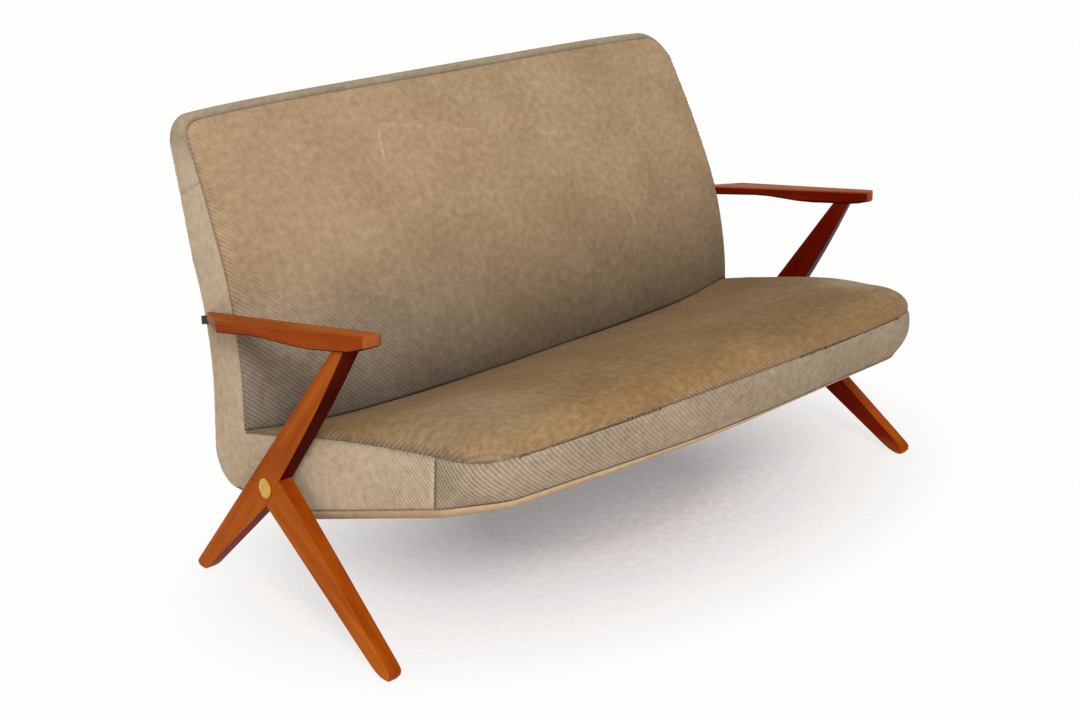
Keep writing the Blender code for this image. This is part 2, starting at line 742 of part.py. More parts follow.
def make_frame(sofa):
    for name, side in SIDES:
        holes = [bolt_hole(), front_dowel(), stile_dowel()]
        sofa.add("seat_side_rail_" + name, rail_slab(side_rail_rows(), RAIL_THICK), "beech", side, holes=holes)
        holes = [stile_dowel(), top_dowel(), back_pin()]
        sofa.add("back_stile_" + name, rail_slab(stile_rows(), STILE_THICK), "beech", side, holes=holes)
        for place, dowel in (("seat_front", front_dowel()), ("stile_foot", stile_dowel()), ("top_rail", top_dowel())):
            sofa.add(place + "_dowel_" + name, shorter(dowel), "beech", side)

    rear = CORNER_Y - GAP
    front = CORNER_Y - FRONT_RAIL_DEPTH
    middle = corner_x(rail_top(front))
    rear_half = middle + SEAT_CORNER - LINER
    round_reach = SEAT_CORNER - FRONT_SLANT - CORNER_TUCK - LINER
    front_half = middle + math.sqrt(round_reach ** 2 - FRONT_RAIL_DEPTH ** 2)
    plan = [(rear_half, rear), (front_half, front), (-front_half, front), (-rear_half, rear)]
    heights = (lambda y: under_z(y) + GAP, rail_top)
    loops = [[Vector((x, y, height(y))) for x, y in plan] for height in heights]
    sofa.add("seat_front_rail", loft(loops), "beech", holes=both_sides(front_dowel()))

    front = BACK_FACE - REAR_RAIL_DEPTH / 4
    rear = front + REAR_RAIL_DEPTH
    section = [(y, z(y)) for z, ys in ((rail_top, (front, rear)), (lambda y: under_z(y) + GAP, (rear, front)))
               for y in ys]
    sofa.add("seat_rear_rail", cross_piece(section, RAIL_THICK + GAP), "beech")

    inside = STILE_THICK + GAP
    sofa.add("back_lower_rail", cross_piece(back_section(0.0, BACK_RAIL_HEIGHT, 0.0), inside), "beech")
    level = BEND_LENGTH - BACK_RAIL_HEIGHT
    depth = back_thick(level) - 2.0 * LINER - back_pad(level) - STRAP_BACK - MIDDLE_RAIL_DEPTH
    section = back_section(level, level + BACK_RAIL_HEIGHT, depth)
    sofa.add("back_middle_rail", cross_piece(section, inside), "beech")
    face = top_rail_grid(lambda s: LINER + back_pad(s) + STRAP_BACK)
    rear_face = top_rail_grid(lambda s: back_thick(s) - LINER)
    sofa.add("back_top_rail", slab(face, rear_face), "beech", holes=both_sides(top_dowel()))

    for name, side in SIDES:
        for place, start, way in (("front", CORNER_Y, 1), ("rear", BACK_FACE - REAR_RAIL_DEPTH / 4 - GAP, -1)):
            loops = []
            base = under_z(start) + 2.0 * GAP
            for z in (base, base + BLOCK_HEIGHT):
                corner = rail_end(start, z, RAIL_THICK + GAP)
                along = rail_end(start + way * BLOCK_LEG, z, RAIL_THICK + GAP)
                loops.append([Vector((corner, start, z)), Vector((along, start + way * BLOCK_LEG, z)),
                              Vector((corner - BLOCK_LEG, start, z))])
            sofa.add("corner_block_" + place + "_" + name, loft(loops), "beech", side)


def lattice(xs, ys, point):
    """Interlaced straps as one layer: every second cell along or across is a strap."""
    bm = bmesh.new()
    layers = [[[bm.verts.new(point(x, y, depth)) for x in xs] for y in ys] for depth in (GAP, GAP + WEBBING)]
    cells = {(i, j) for i in range(len(xs) - 1) for j in range(len(ys) - 1) if i % 2 or j % 2}
    for i, j in cells:
        corners = [(i, j), (i + 1, j), (i + 1, j + 1), (i, j + 1)]
        for layer in layers:
            bm.faces.new([layer[b][a] for a, b in corners])
        beside = [(i, j - 1), (i + 1, j), (i, j + 1), (i - 1, j)]
        for k, neighbour in enumerate(beside):
            if neighbour not in cells:
                (a, b), (c, d) = corners[k], corners[(k + 1) % 4]
                bm.faces.new((layers[0][b][a], layers[0][d][c], layers[1][d][c], layers[1][b][a]))
    bmesh.ops.delete(bm, geom=[v for v in bm.verts if not v.link_faces], context="VERTS")
    bmesh.ops.recalc_face_normals(bm, faces=bm.faces)
    return bm


def strap_edges(start, end):
    """Edges of straps and of the spaces between them, beginning and ending with a space."""
    return steps(start, end, 2 * round((end - start) / STRAP_WIDTH / 2) + 1)


def make_webbing(sofa):
    def on_seat(u, y, depth):
        z = pad_bottom(y) - depth
        return Vector((u * rail_end(y, z, RAIL_THICK / 2), y, z))

    def on_back(u, s, depth):
        y, z = back_yz(s, LINER + back_pad(s) + depth)
        return Vector((u * rail_end(y, z, STILE_THICK / 2), y, z))

    half = side_x(TAPER_START, SEAT_REAR_HEIGHT)
    shares = [x / half for x in strap_edges(-half, half)]
    seat = lattice(shares, strap_edges(CORNER_Y - FRONT_RAIL_DEPTH, BACK_FACE + REAR_RAIL_DEPTH / 2), on_seat)
    sofa.add("seat_webbing", seat, "webbing")
    levels = steps(0.0, BEND_LENGTH, BEND_STEPS) + steps(BEND_LENGTH, BACK_LENGTH - BACK_CORNER / 2, 3)[1:]
    back = lattice(shares, levels, on_back)
    sofa.add("back_webbing", back, "webbing")


# Side frames

def inner_x(z):
    """Inner face of a side frame."""
    return side_x(BOLT_Y, BOLT_HEIGHT) + SPACER + CAMBER * (BOLT_HEIGHT - z)


def frame_x(z):
    """Outer face of a side frame."""
    return inner_x(z) + BOARD_THICK


def strut_rear(z):
    return REAR_FOOT - STRUT_LEAN * z


ARM_JOINT_Y = strut_rear(ARM_HEIGHT - ARM_JOINT_DEPTH) - STRUT_TOP_WIDTH / 2
ARM_TIP = ARM_JOINT_Y - ARM_TIP_REACH
ARM_SWELL_FRONT = ARM_JOINT_Y - ARM_JOINT_HALF
ARM_SWELL_REAR = ARM_JOINT_Y + ARM_JOINT_HALF


def arm_top(y):
    return ARM_HEIGHT - ARM_FALL * y


def arm_inner(y):
    """Inner edge of the armrest, from the strut to the bracket on the back."""
    at_back = side_x(ARM_REAR, arm_top(ARM_REAR)) + GAP + PLATE_THICK + GAP
    return lerp(inner_x(ARM_HEIGHT), at_back, (y - ARM_JOINT_Y) / (ARM_REAR - ARM_JOINT_Y))


def arm_width(y):
    t = (ARM_REAR - ARM_REAR_SKEW - y) / (ARM_REAR - ARM_REAR_SKEW - ARM_TIP)
    return lerp(ARM_REAR_WIDTH, ARM_TIP_WIDTH, clamp(t))


def arm_under(x, y):
    """Underside of the armrest: flat over the strut, thinning to both ends and to the inner edge."""
    inner = arm_inner(y)
    width = arm_width(y)
    if y > ARM_SWELL_REAR:
        t = (y - ARM_SWELL_REAR) / (ARM_REAR - ARM_SWELL_REAR)
        depth = lerp(ARM_JOINT_DEPTH, ARM_REAR_DEPTH, smooth((y - ARM_SWELL_REAR) / ARM_SWELL))
        rise = ARM_INNER_RISE * (1.0 - t)
    elif y < ARM_SWELL_FRONT:
        t = (ARM_SWELL_FRONT - y) / (ARM_SWELL_FRONT - ARM_TIP)
        depth = lerp(ARM_JOINT_DEPTH, ARM_TIP_DEPTH, t)
        rise = ARM_INNER_RISE * (1.0 - t)
    else:
        inner = arm_inner(ARM_JOINT_Y)
        width = arm_width(ARM_JOINT_Y)
        depth = ARM_JOINT_DEPTH
        rise = ARM_INNER_RISE
    return arm_top(y) - depth + rise * (1.0 - (x - inner) / width)


def arm_stations():
    """Inner and outer y of each section, the ends cut aslant."""
    middle = [ARM_SWELL_FRONT] + steps(ARM_SWELL_REAR, ARM_SWELL_REAR + ARM_SWELL, ARM_STEPS)
    return ([(ARM_TIP, ARM_TIP + ARM_TIP_SKEW)] + [(y, y) for y in middle]
            + [(ARM_REAR, ARM_REAR - ARM_REAR_SKEW)])


def make_armrest():
    loops = []
    for y_in, y_out in arm_stations():
        inner = arm_inner(y_in)
        outer = arm_inner(y_out) + arm_width(y_out)
        loops.append([Vector((inner, y_in, arm_top(y_in))),
                      Vector((outer, y_out, arm_top(y_out))),
                      Vector((outer, y_out, arm_under(outer, y_out))),
                      Vector((inner, y_in, arm_under(inner, y_in)))])
    return loft(loops)


def strut_top(x, y_of_z):
    """Where an edge of the strut meets the underside of the armrest."""
    z = ARM_HEIGHT
    for _ in range(12):
        z = arm_under(x, y_of_z(z)) - GAP
    return y_of_z(z), z


def strut_front(z):
    return strut_rear(z) - STRUT_TOP_WIDTH


def strut_front_inner(z):
    return strut_rear(z) - STRUT_INNER_WIDTH


def joint_line():
    """Lower and upper end of the joint between front leg and strut."""
    knee = Vector((KNEE_Y, KNEE_HEIGHT))
    top = Vector(strut_top(frame_x(ARM_HEIGHT), strut_front))
    return knee, knee + (top - knee).normalized() * JOINT_LENGTH


def joint_normal():
    """Out of the joint, along the front leg."""
    knee, upper = joint_line()
    way = (upper - knee).normalized()
    return Vector((-way.y, way.x))


def strut_outline(x, front):
    knee, upper = joint_line()
    top = Vector(strut_top(x, front))
    middle = (upper + top) / 2 + joint_normal() * STRUT_BELLY
    belly = [upper.lerp(middle, t).lerp(middle.lerp(top, t), t) for t in steps(0.0, 1.0, 5)]
    corners = [(*knee, 0.0), (REAR_FOOT - REAR_FOOT_WIDTH, 0.0, HEEL_ROUND), (REAR_FOOT, 0.0, REAR_FOOT_ROUND),
               (*strut_top(x, strut_rear), 0.0)]
    return rounded(corners + [(*p, 0.0) for p in reversed(belly)])


def leg_outline():
    knee, upper = joint_line()
    apart = joint_normal() * GAP
    corners = [(*(upper + apart), 0.0), (FRONT_FOOT, 0.0, FRONT_FOOT_ROUND),
               (FRONT_FOOT + FRONT_FOOT_WIDTH, 0.0, HEEL_ROUND), (*(knee + apart), 0.0)]
    return rounded(corners)


def board(outer, inner):
    """A cambered board between its outer and inner outline."""
    return loft([[Vector((frame_x(z), y, z)) for y, z in outer], [Vector((inner_x(z), y, z)) for y, z in inner]])


def leg_dowels():
    """Dowels in the joint between front leg and strut."""
    knee, upper = joint_line()
    along = (upper - knee).normalized() * LEG_DOWEL_SPACING / 2
    into = joint_normal() * DOWEL_DEPTH
    dowels = []
    for middle in ((knee + upper) / 2 - along, (knee + upper) / 2 + along):
        x = (frame_x(middle.y) + inner_x(middle.y)) / 2
        dowels.append((Vector((x, *(middle - into))), Vector((x, *(middle + into))), DOWEL_RADIUS))
    return dowels


def arm_dowel():
    """Dowel between strut and armrest, along the strut."""
    x = (frame_x(ARM_HEIGHT) + inner_x(ARM_HEIGHT)) / 2
    rear = Vector(strut_top(x, strut_rear))
    middle = (rear + Vector(strut_top(x, strut_front))) / 2
    along = Vector((-STRUT_LEAN, 1.0)).normalized() * ARM_DOWEL_DEPTH
    return Vector((x, *(middle - along))), Vector((x, *(middle + along))), ARM_DOWEL_RADIUS


def in_joint(vert):
    """True on the faces where leg, strut and armrest meet."""
    knee, upper = joint_line()
    point = Vector((vert.co.y, vert.co.z))
    off = abs((point - knee).dot(joint_normal()))
    on_leg = off < 2.0 * GAP and knee.y - GAP < point.y < upper.y + GAP
    return on_leg or point.y > arm_under(vert.co.x, vert.co.y) - 2.0 * GAP


def soften(bm, keep_sharp=None):
    """Marks the edges that are rounded over."""
    weight = bm.edges.layers.float.new("bevel_weight_edge")
    for edge in bm.edges:
        joint = keep_sharp and all(keep_sharp(v) for v in edge.verts)
        if not joint and edge.calc_face_angle() > ROUNDED_ANGLE:
            edge[weight] = 1.0
    return bm


def bolt_tilt():
    """Outward direction square to a side frame."""
    return Vector((1.0, 0.0, CAMBER)).normalized()


def bolt_inner():
    """Inner end of the frame bolt."""
    inside = rail_end(BOLT_Y, BOLT_HEIGHT, RAIL_THICK) - WASHER_THICK - NUT_THICK - 3.0 * GAP - BOLT_SPARE
    return Vector((inside, BOLT_Y, BOLT_HEIGHT))


def bolt_hole():
    past = Vector((BOLT_HEAD_RADIUS, 0.0, 0.0))
    return Vector((frame_x(BOLT_HEIGHT), BOLT_Y, BOLT_HEIGHT)) + past, bolt_inner() - past, BOLT_RADIUS


def make_bolt():
    """A bolt with a low domed head that lies flat on the strut."""
    along = Vector((1.0, 0.0, 0.0))
    tilt = bolt_tilt()
    seat = Vector((frame_x(BOLT_HEIGHT), BOLT_Y, BOLT_HEIGHT)) + tilt * GAP
    loops = [circle(bolt_inner(), along, BOLT_RADIUS), circle(seat, tilt, BOLT_RADIUS),
             circle(seat, tilt, BOLT_HEAD_RADIUS)]
    for turn in steps(0.0, math.pi / 2, 4)[:-1]:
        rise = BOLT_HEAD_RIM + BOLT_HEAD_DOME * math.sin(turn)
        loops.append(circle(seat + tilt * rise, tilt, BOLT_HEAD_RADIUS * math.cos(turn)))
    return loft(loops)


def around_bolt(outer_radius, outer_face, inner_face):
    """A ring on the bolt between two faces, given as x of (y, z)."""
    loops = []
    bore = BOLT_RADIUS + HOLE_PLAY
    for radius, face in ((outer_radius, outer_face), (outer_radius, inner_face),
                         (lambda a: bore, inner_face), (lambda a: bore, outer_face)):
        loop = []
        for k in range(ROUND_STEPS):
            turn = 2.0 * math.pi * k / ROUND_STEPS
            y = BOLT_Y + radius(turn) * math.cos(turn)
            z = BOLT_HEIGHT + radius(turn) * math.sin(turn)
            loop.append(Vector((face(y, z), y, z)))
        loops.append(loop)
    return loft(loops, closed=True)


def hexagon(turn):
    """Distance from the middle of the nut to its flats."""
    corner = math.pi / 3
    return NUT_RADIUS * math.cos(corner / 2) / math.cos(turn % corner - corner / 2)


def make_fixings(sofa):
    washer = RAIL_THICK + GAP
    nut = washer + WASHER_THICK + GAP
    for name, side in SIDES:
        sofa.add("frame_bolt_" + name, make_bolt(), "brass", side)
        spacer = around_bolt(lambda a: SPACER_RADIUS, lambda y, z: inner_x(z) - GAP, lambda y, z: side_x(y, z) + GAP)
        sofa.add("bolt_spacer_" + name, spacer, "steel", side)
        ring = around_bolt(lambda a: WASHER_RADIUS, lambda y, z: rail_end(y, z, washer),
                           lambda y, z: rail_end(y, z, washer + WASHER_THICK))
        sofa.add("bolt_washer_" + name, ring, "steel", side)
        ring = around_bolt(hexagon, lambda y, z: rail_end(y, z, nut), lambda y, z: rail_end(y, z, nut + NUT_THICK))
        sofa.add("bolt_nut_" + name, ring, "steel", side)
        holes = [longer(arm_pin()), longer(back_pin())]
        sofa.add("arm_bracket_" + name, make_bracket(), "steel", side, holes=holes)
        sofa.add("bracket_arm_pin_" + name, shorter(arm_pin()), "steel", side)
        sofa.add("bracket_back_pin_" + name, shorter(back_pin()), "steel", side)


# Bracket between armrest and back

def make_bracket():
    layers = []
    for face in (lambda y, z: arm_inner(y) - GAP, lambda y, z: side_x(y, z) + GAP):
        grid = []
        for y in (ARM_REAR - PLATE_REACH, ARM_REAR + PLATE_TAIL):
            heights = (plate_z(y) + PLATE_HEIGHT / 2, plate_z(y) - PLATE_HEIGHT / 2)
            grid.append([Vector((face(y, z), y, z)) for z in heights])
        layers.append(grid)
    return slab(*layers)


def plate_z(y):
    """Middle height of the bracket."""
    return arm_top(y) - PLATE_DROP - PLATE_TILT * (y - ARM_REAR + PLATE_REACH)


def arm_pin():
    """Pin from the bracket into the armrest."""
    y = ARM_REAR - PLATE_REACH / 2
    z = plate_z(y)
    return Vector((side_x(y, z) + GAP, y, z)), Vector((arm_inner(y) + PIN_DEPTH, y, z)), PIN_RADIUS


def back_pin():
    """Pin from the bracket through the side panel into the back stile."""
    y = ARM_REAR - PIN_INSET
    z = plate_z(y)
    return Vector((arm_inner(y) - GAP, y, z)), Vector((side_x(y, z) - PIN_DEPTH, y, z)), PIN_RADIUS


def make_side_frames(sofa):
    for name, side in SIDES:
        outer = strut_outline(frame_x(ARM_HEIGHT), strut_front)
        inner = strut_outline(inner_x(ARM_HEIGHT), strut_front_inner)
        sofa.add("strut_" + name, soften(board(outer, inner), in_joint), "teak", side, EDGE_ROUND,
                 [bolt_hole(), arm_dowel()] + leg_dowels())
        leg = leg_outline()
        sofa.add("front_leg_" + name, soften(board(leg, leg), in_joint), "teak", side, EDGE_ROUND, leg_dowels())
        sofa.add("armrest_" + name, soften(make_armrest()), "teak", side, ARM_ROUND, [arm_dowel(), arm_pin()])
        for place, dowel in zip(("lower", "upper"), leg_dowels()):
            sofa.add("leg_dowel_" + place + "_" + name, shorter(dowel), "beech", side)
        sofa.add("arm_dowel_" + name, shorter(arm_dowel()), "beech", side)


def main():
    sofa = Sofa()
    make_seat(sofa)
    make_back(sofa)
    make_frame(sofa)
    make_webbing(sofa)
    make_side_frames(sofa)
    make_fixings(sofa)
    sofa.centre()


main()
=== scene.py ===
"""Looks of the two-seat lounge sofa: upholstery, wood, metal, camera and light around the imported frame.

X runs along the sofa, the front faces -Y and Z is up; lengths are metres, as in the frame.
"""
import json
import math

import bmesh
import bpy
import numpy as np
from mathutils import Matrix, Vector


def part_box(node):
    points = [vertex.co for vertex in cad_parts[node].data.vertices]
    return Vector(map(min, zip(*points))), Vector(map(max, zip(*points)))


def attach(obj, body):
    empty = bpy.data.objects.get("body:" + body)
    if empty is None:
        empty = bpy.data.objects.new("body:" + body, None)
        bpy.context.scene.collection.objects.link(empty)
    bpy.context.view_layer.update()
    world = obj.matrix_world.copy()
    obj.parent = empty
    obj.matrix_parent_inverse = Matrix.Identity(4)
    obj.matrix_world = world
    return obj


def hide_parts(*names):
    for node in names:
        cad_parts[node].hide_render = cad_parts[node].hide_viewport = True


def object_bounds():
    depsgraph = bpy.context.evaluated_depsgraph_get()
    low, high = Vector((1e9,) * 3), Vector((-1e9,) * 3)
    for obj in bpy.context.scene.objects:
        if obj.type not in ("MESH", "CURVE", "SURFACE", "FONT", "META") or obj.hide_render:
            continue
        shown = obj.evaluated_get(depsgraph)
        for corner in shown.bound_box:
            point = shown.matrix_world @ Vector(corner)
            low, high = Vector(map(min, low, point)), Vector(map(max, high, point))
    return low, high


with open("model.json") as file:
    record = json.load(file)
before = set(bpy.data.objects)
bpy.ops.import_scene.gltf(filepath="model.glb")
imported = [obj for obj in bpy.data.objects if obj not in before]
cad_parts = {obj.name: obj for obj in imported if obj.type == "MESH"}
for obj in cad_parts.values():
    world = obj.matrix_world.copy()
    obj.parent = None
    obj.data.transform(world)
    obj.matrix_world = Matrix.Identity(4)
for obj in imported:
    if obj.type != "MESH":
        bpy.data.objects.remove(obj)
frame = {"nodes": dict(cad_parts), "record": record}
cad_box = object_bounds()

# Sizes of the upholstered body, as in the solids
GAP = 0.0003
FABRIC = 0.003
LINER = FABRIC + GAP
BODY_LOW = 0.155
REAR_ROUND = 0.066
BORDER_ROUND = 0.012
UNDER_BREAK = 0.017
UNDER_EASE = 0.20
FRONT_SEAM_HEIGHT = 0.272
SEAT_REAR_HEIGHT = 0.271
SEAT_FRONT_HEIGHT = 0.355
SEAT_ARCH = 0.012
BACK_FACE = 0.1765
SEAT_DEPTH = 0.5455
BEND_HEIGHT = 0.300
BEND_RADIUS = 0.620
RECLINE = math.radians(26.2)
BACK_HEIGHT = 0.780
BACK_THICK = 0.098
BACK_TOP_THICK = 0.062
BODY_WIDTH = 1.202
SIDE_LEAN = 0.055
TAPER_START = 0.100
SEAT_NARROWING = 0.050
SEAT_CORNER = 0.102
CORNER_FILL = 0.009
CORNER_TUCK = 0.006
FRONT_BOW = 0.015
FRONT_SLANT = 0.012
SEAT_PAD = 0.036
BAND_BULGE = 0.004
BACK_PAD = 0.038
BACK_PAD_TOP = 0.024
BACK_CROWN = 0.024
BACK_SWELL = 0.030
SWELL_REACH = 0.240
TOP_CROWN = 0.016

# Forms of the used piece in the photograph, where they differ from the solids
BORDER_CURL = 0.026         # how far the plain strip along the lower edge curls in under the seat
BORDER_HEIGHT = 0.019       # of that strip at the left front corner
BORDER_THIN = 0.004         # at the right front corner
BORDER_REAR_HEIGHT = 0.004  # behind the struts
BORDER_LIFT = 0.010         # how much higher the lower edge lies at the right front
CORNER_SWELL = 0.003        # how far the front corners stand out between their top and their foot
CORNER_FULLNESS = 4.0       # the larger, the nearer to its foot a corner starts to draw in
BACK_CORNER = {"left": 0.024, "right": 0.052}     # the photograph shows the left one sharper
REAR_CORNER = {"left": 0.025, "right": 0.040}
TOP_SEAM_SET = 0.007        # how far the front panel's top seam lies below the crest
TOP_SEAM_DROP = 0.116       # how far the top band reaches down the sides
TOP_ARCH = 0.008            # how far the top edge of the back falls towards its ends
SEAT_ROLL = 0.068           # width of the seat's rounded edge
SEAT_ROLL_HEIGHT = 0.043    # of that edge at the front
SEAT_ROLL_REAR = (0.006, 0.020)    # and at the left and right rear, the right being less worn
SEAT_CROWN = 0.002
SEAT_SAG = 0.032            # in front of the back
SEAT_HOLLOW = 0.0045        # depth of the two places where people sit
HOLLOW_PLACE = 0.29         # their distance from the middle
HOLLOW_SIZE = (0.17, 0.14)
CREASE_START = (-0.52, 0.075)      # crease at the left rear of the seat
CREASE_SLOPE = 0.22
CREASE_DEPTH = 0.0035
CREASE_WIDTH = 0.007
SEAT_RIPPLE = (0.0011, 34.0, 3)    # height, closeness and seed of the waves
BACK_RIPPLE = (0.0010, 30.0, 8)
PAD_INSET = 0.005           # the foot of the seat cushion, inside its top
PAD_SLANT = 0.003
PAD_SHARE = 0.45            # how far down the front corners it lies
DUST_SAG = 0.004
DUST_THICK = 0.0012

FRONT_Y = BACK_FACE - SEAT_DEPTH
CORNER_Y = FRONT_Y + SEAT_CORNER
LOWER_SEAM = BODY_LOW + BORDER_ROUND
ROUND_Y = BACK_FACE + BACK_THICK - REAR_ROUND
ROUND_Z = BODY_LOW + REAR_ROUND
BEND_LENGTH = BEND_RADIUS * RECLINE
BEND_TOP = BEND_HEIGHT + BEND_RADIUS * math.sin(RECLINE)
BACK_LENGTH = BEND_LENGTH + (BACK_HEIGHT - BEND_TOP) / math.cos(RECLINE)
FRONT_LENGTH = BACK_LENGTH - TOP_SEAM_SET
SIDE_TOP = BACK_LENGTH - TOP_SEAM_DROP

SIDES = (("left", -1.0), ("right", 1.0))

# The frame lies centred on its box: the bolt tells how far these sizes have to shift along Y
BOLT_Y = 0.068
BOLT_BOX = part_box("frame_bolt_left")
SHIFT = np.array((0.0, (BOLT_BOX[0].y + BOLT_BOX[1].y) / 2 - BOLT_Y, 0.0))

# Sewing
SEAM_DIP = 0.0032           # how deep a panel's edge is pulled into its seam
SEAM_ROLL = 0.012           # width of the rounded edge beside a seam
SEAT_SEAM_DIP = 0.0024      # round the seat
FLAT_SEAM_DIP = 0.0010      # between panels that lie flat beside each other
FLAT_SEAM_ROLL = 0.006
BORDER_SEAM_DIP = 0.0008
BORDER_SEAM_ROLL = 0.004
PUCKER = 0.12               # share by which the depth of a seam varies
PUCKER_STEP = 0.031
STITCH_STEP = 0.0085
STITCH_LENGTH = 0.0060
STITCH_RADIUS = 0.0005
STITCH_SLANT = 0.6
STITCH_SIDES = 6
LOOK_AHEAD = 0.002          # along a seam, to find its direction
STITCH_PROFILE = ((-0.5, 0.35), (-0.3, 1.0), (0.0, 1.1), (0.3, 1.0), (0.5, 0.35))   # place, thickness
RIB_PITCH = 0.0066          # diagonal ribs of the twill
RIB_ANGLE = math.radians(-45.0)
BACK_RIB_ANGLE = math.radians(-47.0)

# Wood: lean of each board's grain, and its rounded edges and ends
STRUT_GRAIN = math.pi / 2 - math.atan(0.800)
LEG_GRAIN = math.atan2(0.367, 0.181) - math.pi / 2
ARM_GRAIN = math.atan(0.162)
EDGE_ROUND = 0.0035
ARM_EDGE_ROUND = 0.0020
SHARP_EDGE = math.radians(35.0)
END_ROUND = 0.009           # corners of the armrests' rear ends, seen from above
TIP_ROUND = 0.007           # radius of the pointed inner corner at their front ends
TIP_ANGLE = math.radians(27.0)     # half the angle of that corner, and how far it points inward
ARC_STEP = math.pi / 8      # between the cuts that round an end
FOOT_DOME = 0.014           # height over which a foot is rounded
FOOT_INSET = 0.009          # and how far its sides draw in at the floor

# Camera of the photograph, and light
EYE = Vector((-2.024, -2.181, 1.392))
TARGET = Vector((-0.088, 0.0, 0.315))
ROLL = math.radians(-0.835)
FOCAL_PIXELS = 1748.1
IMAGE_WIDTH = 1080
SENSOR = 36.0
FLOOR_HALF = 14.0
FLOOR_DROP = 0.0005         # keeps the floor clear of the soles
WORLD_LIGHT = 0.5           # of the white surroundings, as far as they light the sofa
LAMP_PLACE = (-2.8, -4.7, 4.2)
LAMP_AIM = Vector((0.0, 0.0, 0.35))
LAMP_SIZE = 2.8
LAMP_POWER = 330.0


def lerp(a, b, t):
    return a + (b - a) * t


def smooth(t):
    """0 up to t = 0, 1 from t = 1, and an even slope between."""
    t = np.clip(t, 0.0, 1.0)
    return t * t * (3.0 - 2.0 * t)


def bell(t):
    return np.exp(-t ** 2)


def spot(x, y, middle, size):
    """1 at the middle of an oval patch, falling off over its half sizes."""
    return np.exp(-((x - middle[0]) / size[0]) ** 2 - ((y - middle[1]) / size[1]) ** 2)


def spread(count, gather=0.5):
    """Values from 0 to 1, closer together at both ends."""
    k = np.linspace(0.0, 1.0, count)
    return lerp(k, (1.0 - np.cos(math.pi * k)) / 2.0, gather)


def ripple(x, y, height, scale, seed):
    """Smooth waviness."""
    waves = 7
    total = np.zeros(np.broadcast(x, y).shape)
    rng = np.random.default_rng(seed)
    for _ in range(waves):
        angle = rng.uniform(0.0, math.pi)
        rate = scale * rng.uniform(0.6, 1.6)
        total += np.sin(rate * (x * math.cos(angle) + y * math.sin(angle)) + rng.uniform(0.0, 6.3))
    return height * (total / waves)


# Surfaces of the body

def side_x(y, z):
    """Half width of the body."""
    narrowing = SEAT_NARROWING * np.maximum(0.0, TAPER_START - y) / (TAPER_START - CORNER_Y)
    return BODY_WIDTH / 2 - SIDE_LEAN * (z - BODY_LOW) - narrowing


def seam_z(y):
    """Height of the seam round the seat."""
    t = (BACK_FACE - y) / SEAT_DEPTH
    return lerp(SEAT_REAR_HEIGHT, SEAT_FRONT_HEIGHT, t) + SEAT_ARCH * 4.0 * t * (1.0 - t)


def under_z(y):
    """Height of the lower seam: it rises to the front and levels out round the corner."""
    q = np.clip((y - FRONT_Y) / (UNDER_BREAK - FRONT_Y), 0.0, 1.0)
    fall = np.where(q < UNDER_EASE, q * q / (2.0 * UNDER_EASE), q - UNDER_EASE / 2.0)
    return FRONT_SEAM_HEIGHT - (FRONT_SEAM_HEIGHT - LOWER_SEAM) * fall / (1.0 - UNDER_EASE / 2.0)


def bottom_z(x, y):
    """Lower edge of the body, a little higher towards the right front corner."""
    lift = BORDER_LIFT * smooth((x + 0.10) / 0.45) * smooth((0.10 - y) / 0.25)
    return under_z(y) - BORDER_ROUND + lift


def border_z(x, y):
    """Top of the plain strip along the lower edge: it thins to the right and runs out behind the struts."""
    front = lerp(BORDER_HEIGHT, BORDER_THIN, smooth((x + 0.50) / 1.0))
    return bottom_z(x, y) + lerp(BORDER_REAR_HEIGHT, front, smooth((ROUND_Y - y) / 0.20))


def corner_x(z):
    """Where the rounded front corners begin."""
    return side_x(CORNER_Y, z) - SEAT_CORNER


def seat_top(x, y):
    """Height of the seat: rolled over at its edges, sagging towards the back."""
    straight = np.maximum(y, CORNER_Y)
    half = side_x(straight, seam_z(straight))
    edge = np.minimum(1.0, np.abs(x) / half)
    bow = FRONT_BOW * np.maximum(0.0, 1.0 - (x / corner_x(seam_z(CORNER_Y))) ** 2)
    t = np.clip((BACK_FACE - y) / (SEAT_DEPTH + bow), 0.0, 1.0)
    out_x = np.maximum(0.0, SEAT_CORNER - (half - np.abs(x)))
    out_y = np.maximum(0.0, SEAT_CORNER - (y - FRONT_Y + bow))
    limit = SEAT_CORNER + CORNER_FILL * np.sin(2.0 * np.arctan2(out_y, out_x)) ** 2
    inward = np.maximum(0.0, limit - np.hypot(out_x, out_y))
    roll = 1.0 - np.minimum(1.0, inward / SEAT_ROLL)
    rear = lerp(*SEAT_ROLL_REAR, smooth((x + 0.20) / 0.70))
    height = lerp(rear, SEAT_ROLL_HEIGHT, smooth(t / 0.75))
    crown = height * np.sqrt(1.0 - roll * roll) + SEAT_CROWN * smooth(inward / SEAT_CORNER)
    return seam_z(y) + crown - SEAT_SAG * (1.0 - edge ** 6) * (1.0 - t) ** 2


def back_yz(s, depth):
    """Point of the back at s along its curve, counted from the bend's foot, and depth behind its face."""
    turn = np.clip(s, 0.0, BEND_LENGTH) / BEND_RADIUS
    rest = np.maximum(0.0, s - BEND_LENGTH)
    below = np.minimum(s, 0.0)
    y = BACK_FACE + BEND_RADIUS * (1.0 - np.cos(turn)) + rest * np.sin(turn) + depth * np.cos(turn)
    z = BEND_HEIGHT + BEND_RADIUS * np.sin(turn) + below + rest * np.cos(turn) - depth * np.sin(turn)
    return y, z


def back_thick(s):
    t = np.clip((s - BEND_LENGTH) / (BACK_LENGTH - BEND_LENGTH), 0.0, 1.0)
    return lerp(BACK_THICK, BACK_TOP_THICK, t)


